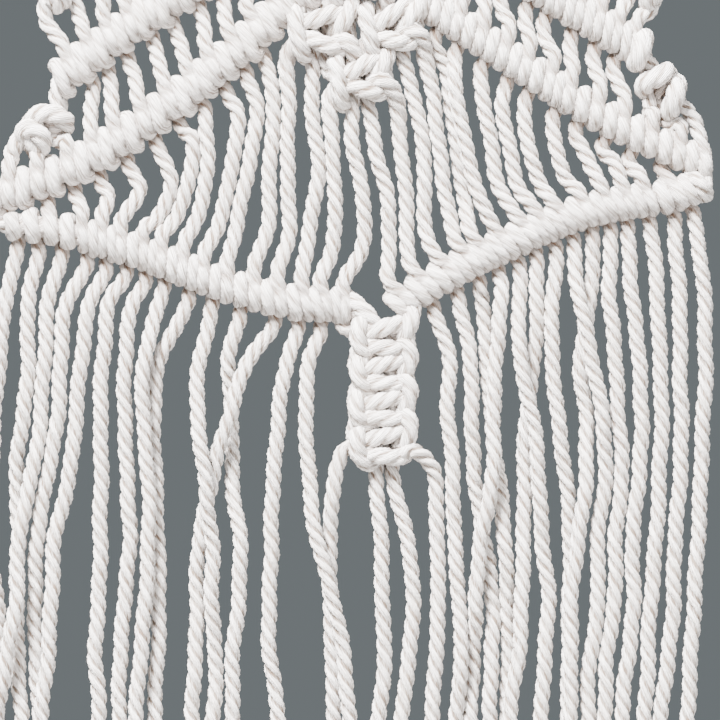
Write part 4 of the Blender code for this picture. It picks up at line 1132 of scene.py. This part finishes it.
# %% [markdown]
# ## Laying the rope
#
# Each piece is first a wire: a mesh of points and edges, with the radius, the shade, the pressing and the
# start angle kept as attributes. Where a cord bends, the wire also keeps which way the bend bulges, so that
# the tree knows a loop's crown from its flanks. The tree then turns the wire into rope. A short last ring,
# shrunk to nothing, closes each cut end.

# %% From the list to a mesh
END_STEP = 0.25
END_RADIUS = 0.0004
STRAIGHT = 0.15
BEND_REACH = 2


def wire(name, cords):
    """A mesh of points and edges, with what the tree has to know at each point."""
    made = bpy.data.meshes.new(name)
    spots, edges, bulges = [], [], []
    values = {"rope_radius": [], "tucked": [], "pressed": [], "start_turn": []}
    for rings, start in cords:
        first = len(spots)
        ends = []
        for ring, inner in ((rings[0], rings[1]), (rings[-1], rings[-2])):
            outwards = (ring[0] - inner[0]).normalized()
            ends.append((ring[0] + outwards * END_STEP, END_RADIUS, ring[2], 0.0))
        whole = (ends[0], *rings, ends[1])
        for i, (place, radius, shade, press) in enumerate(whole):
            spots.append(place * MM)
            for attribute, value in zip(values, (radius * MM, shade, press, start)):
                values[attribute].append(value)
            before = whole[max(i - BEND_REACH, 0)][0]
            after = whole[min(i + BEND_REACH, len(whole) - 1)][0]
            bend = place * 2 - before - after
            bulges.extend(bend.normalized() if bend.length > STRAIGHT else (0.0, 0.0, 0.0))
        edges += [(i, i + 1) for i in range(first, len(spots) - 1)]
    made.from_pydata(spots, edges, [])
    for attribute, numbers in values.items():
        made.attributes.new(attribute, "FLOAT", "POINT").data.foreach_set("value", numbers)
    made.attributes.new("bulge", "FLOAT_VECTOR", "POINT").data.foreach_set("vector", bulges)
    return made


# %% From the wire to a piece of rope
WORKING_ATTRIBUTES = ("around", "along", "middle", "bulge", "rope_radius", "start_turn")


def rope_mesh(name, cords, material):
    """The rope along every path of the wire, as one plain mesh."""
    guide = bpy.data.objects.new(name + "_wire", wire(name + "_wire", cords))
    bpy.context.scene.collection.objects.link(guide)
    laid = guide.modifiers.new("lay", "NODES")
    laid.node_group = ROPE_TREE
    for item in ROPE_TREE.interface.items_tree:
        if item.in_out == "INPUT" and item.name == "Material":
            laid[item.identifier] = material
    graph = bpy.context.evaluated_depsgraph_get()
    mesh = bpy.data.meshes.new_from_object(guide.evaluated_get(graph))
    mesh.name = name
    bpy.data.objects.remove(guide, do_unlink=True)
    for attribute in WORKING_ATTRIBUTES:
        if attribute in mesh.attributes:
            mesh.attributes.remove(mesh.attributes[attribute])
    return mesh


def finished(name, mesh, node):
    piece = bpy.data.objects.new(name, mesh)
    bpy.context.scene.collection.objects.link(piece)
    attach(piece, "root")
    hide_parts(node)
    print(f"{name}: {sum(len(polygon.vertices) - 2 for polygon in mesh.polygons)} triangles")


PANEL_PIECES = ("heading_larks_heads", "outer_chevron_left", "outer_chevron_right", "main_chevron_left",
                "main_chevron_right", "side_knots_left", "side_knots_right")
FRINGE_PIECES = ("lower_row_left", "lower_row_right", "sennit", "fringe_left", "fringe_right")
for node, names in (("knotted_panel", PANEL_PIECES), ("fringe", FRINGE_PIECES)):
    for name in names:
        finished(name, rope_mesh(name, CORDS[name], COTTON[node]), node)

# %% [markdown]
# ## Parting the panel from the fringe
#
# The cords of the open field belong to the panel, but their hitches are part of the fringe's own row. Each is
# laid as one rope, so that its plies run on without a break, and then parted just above the row. Both cuts
# are closed, and the skin keeps the normals of the whole rope, so that the parting doesn't show as a line.

# %% Part the open field's cords from their hitches
PARTED_ABOVE = 0.9


def part_mesh(mesh, keep_above, line, material):
    """Keep what is above the row's top edge, or what is below it, and close the cut."""
    copy = mesh.copy()
    skin = copy.attributes.new("skin_normal", "FLOAT_VECTOR", "POINT")
    skin.data.foreach_set("vector", [v for normal in mesh.vertex_normals for v in normal.vector])
    cage = bmesh.new()
    cage.from_mesh(copy)
    gone = []
    for polygon in cage.faces:
        centre = polygon.calc_center_median() / MM
        spot = line.at(line.reach_at(centre.x))[0]
        high = centre.z > spot.z + line.row.thickness / 2 + PARTED_ABOVE
        if high != keep_above:
            gone.append(polygon)
    bmesh.ops.delete(cage, geom=gone, context="FACES")
    rims = [edge for edge in cage.edges if edge.is_boundary]
    caps = bmesh.ops.holes_fill(cage, edges=rims, sides=0)["faces"]
    fans = bmesh.ops.poke(cage, faces=caps)["faces"]
    for cap in fans:
        cap.smooth = False
    cage.to_mesh(copy)
    cage.free()
    kept = copy.attributes["skin_normal"].data
    normals = []
    for polygon in copy.polygons:
        for i in polygon.vertices:
            normals.append(kept[i].vector if polygon.use_smooth else polygon.normal)
    copy.normals_split_custom_set([tuple(normal) for normal in normals])
    copy.attributes.remove(copy.attributes["skin_normal"])
    copy.materials.clear()
    copy.materials.append(material)
    return copy


for half in ("left", "right"):
    row = "lower_" + half
    whole = rope_mesh("span_" + row, CORDS["span_" + row], COTTON["knotted_panel"])
    for name, node, above in (("open_field_" + half, "knotted_panel", True),
                              ("lower_hitches_" + half, "fringe", False)):
        finished(name, part_mesh(whole, above, LINES[row], COTTON[node]), node)

# %% [markdown]
# ## Floor, light and camera
#
# The hanging is lit as in a bright room: one strong soft light from high on the left in front, a weak broad
# one from the right, a weak one behind, and a grey-blue surrounding. The camera looks straight at it and
# takes in 180 mm across. It stands so far off that the cords in front look hardly larger than those behind.

# %% Floor, light and camera
FLOOR_COLOUR = (0.27, 0.268, 0.262, 1.0)
FLOOR_RADIUS, FLOOR_Z = 0.9, -0.40
SURROUNDING = (0.155, 0.174, 0.182, 1.0)


def floor_material():
    made = bpy.data.materials.new("pale_floor")
    made.use_nodes = True
    shader = made.node_tree.nodes["Principled BSDF"]
    shader.inputs["Base Color"].default_value = FLOOR_COLOUR
    shader.inputs["Roughness"].default_value = 0.9
    return made


bpy.ops.mesh.primitive_circle_add(vertices=96, radius=FLOOR_RADIUS, fill_type="NGON",
                                  location=(0.0, 0.0, FLOOR_Z))
floor = bpy.context.object
floor.name = "floor"
floor.data.materials.append(floor_material())
floor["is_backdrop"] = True

world = bpy.data.worlds.new("surrounding")
bpy.context.scene.world = world
world.use_nodes = True
world.node_tree.nodes["Background"].inputs["Color"].default_value = SURROUNDING
world.node_tree.nodes["Background"].inputs["Strength"].default_value = 1.0


def soft_light(name, power, size, place, target):
    data = bpy.data.lights.new(name, "AREA")
    data.energy = power
    data.shape = "DISK"
    data.size = size
    lamp = bpy.data.objects.new(name, data)
    lamp.location = place
    lamp.rotation_euler = (Vector(target) - Vector(place)).to_track_quat("-Z", "Y").to_euler()
    bpy.context.scene.collection.objects.link(lamp)


MIDDLE = (-0.001, 0.0, -0.135)
soft_light("key", 300.0, 0.55, (-0.5, -0.9, 1.05), MIDDLE)
soft_light("fill", 26.0, 1.2, (0.8, -1.2, 0.2), MIDDLE)
soft_light("back", 16.0, 0.9, (0.2, 1.2, 0.5), MIDDLE)

DISTANCE = 0.9
SEEN_ACROSS = 0.180
view = bpy.data.cameras.new("camera")
view.sensor_width = 36.0
view.lens = view.sensor_width * DISTANCE / SEEN_ACROSS
camera = bpy.data.objects.new("camera", view)
camera.location = (MIDDLE[0], -DISTANCE, MIDDLE[2])
camera.rotation_euler = (math.radians(90.0), 0.0, 0.0)
bpy.context.scene.collection.objects.link(camera)
bpy.context.scene.camera = camera

# %% Sizes, and the end
low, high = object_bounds()
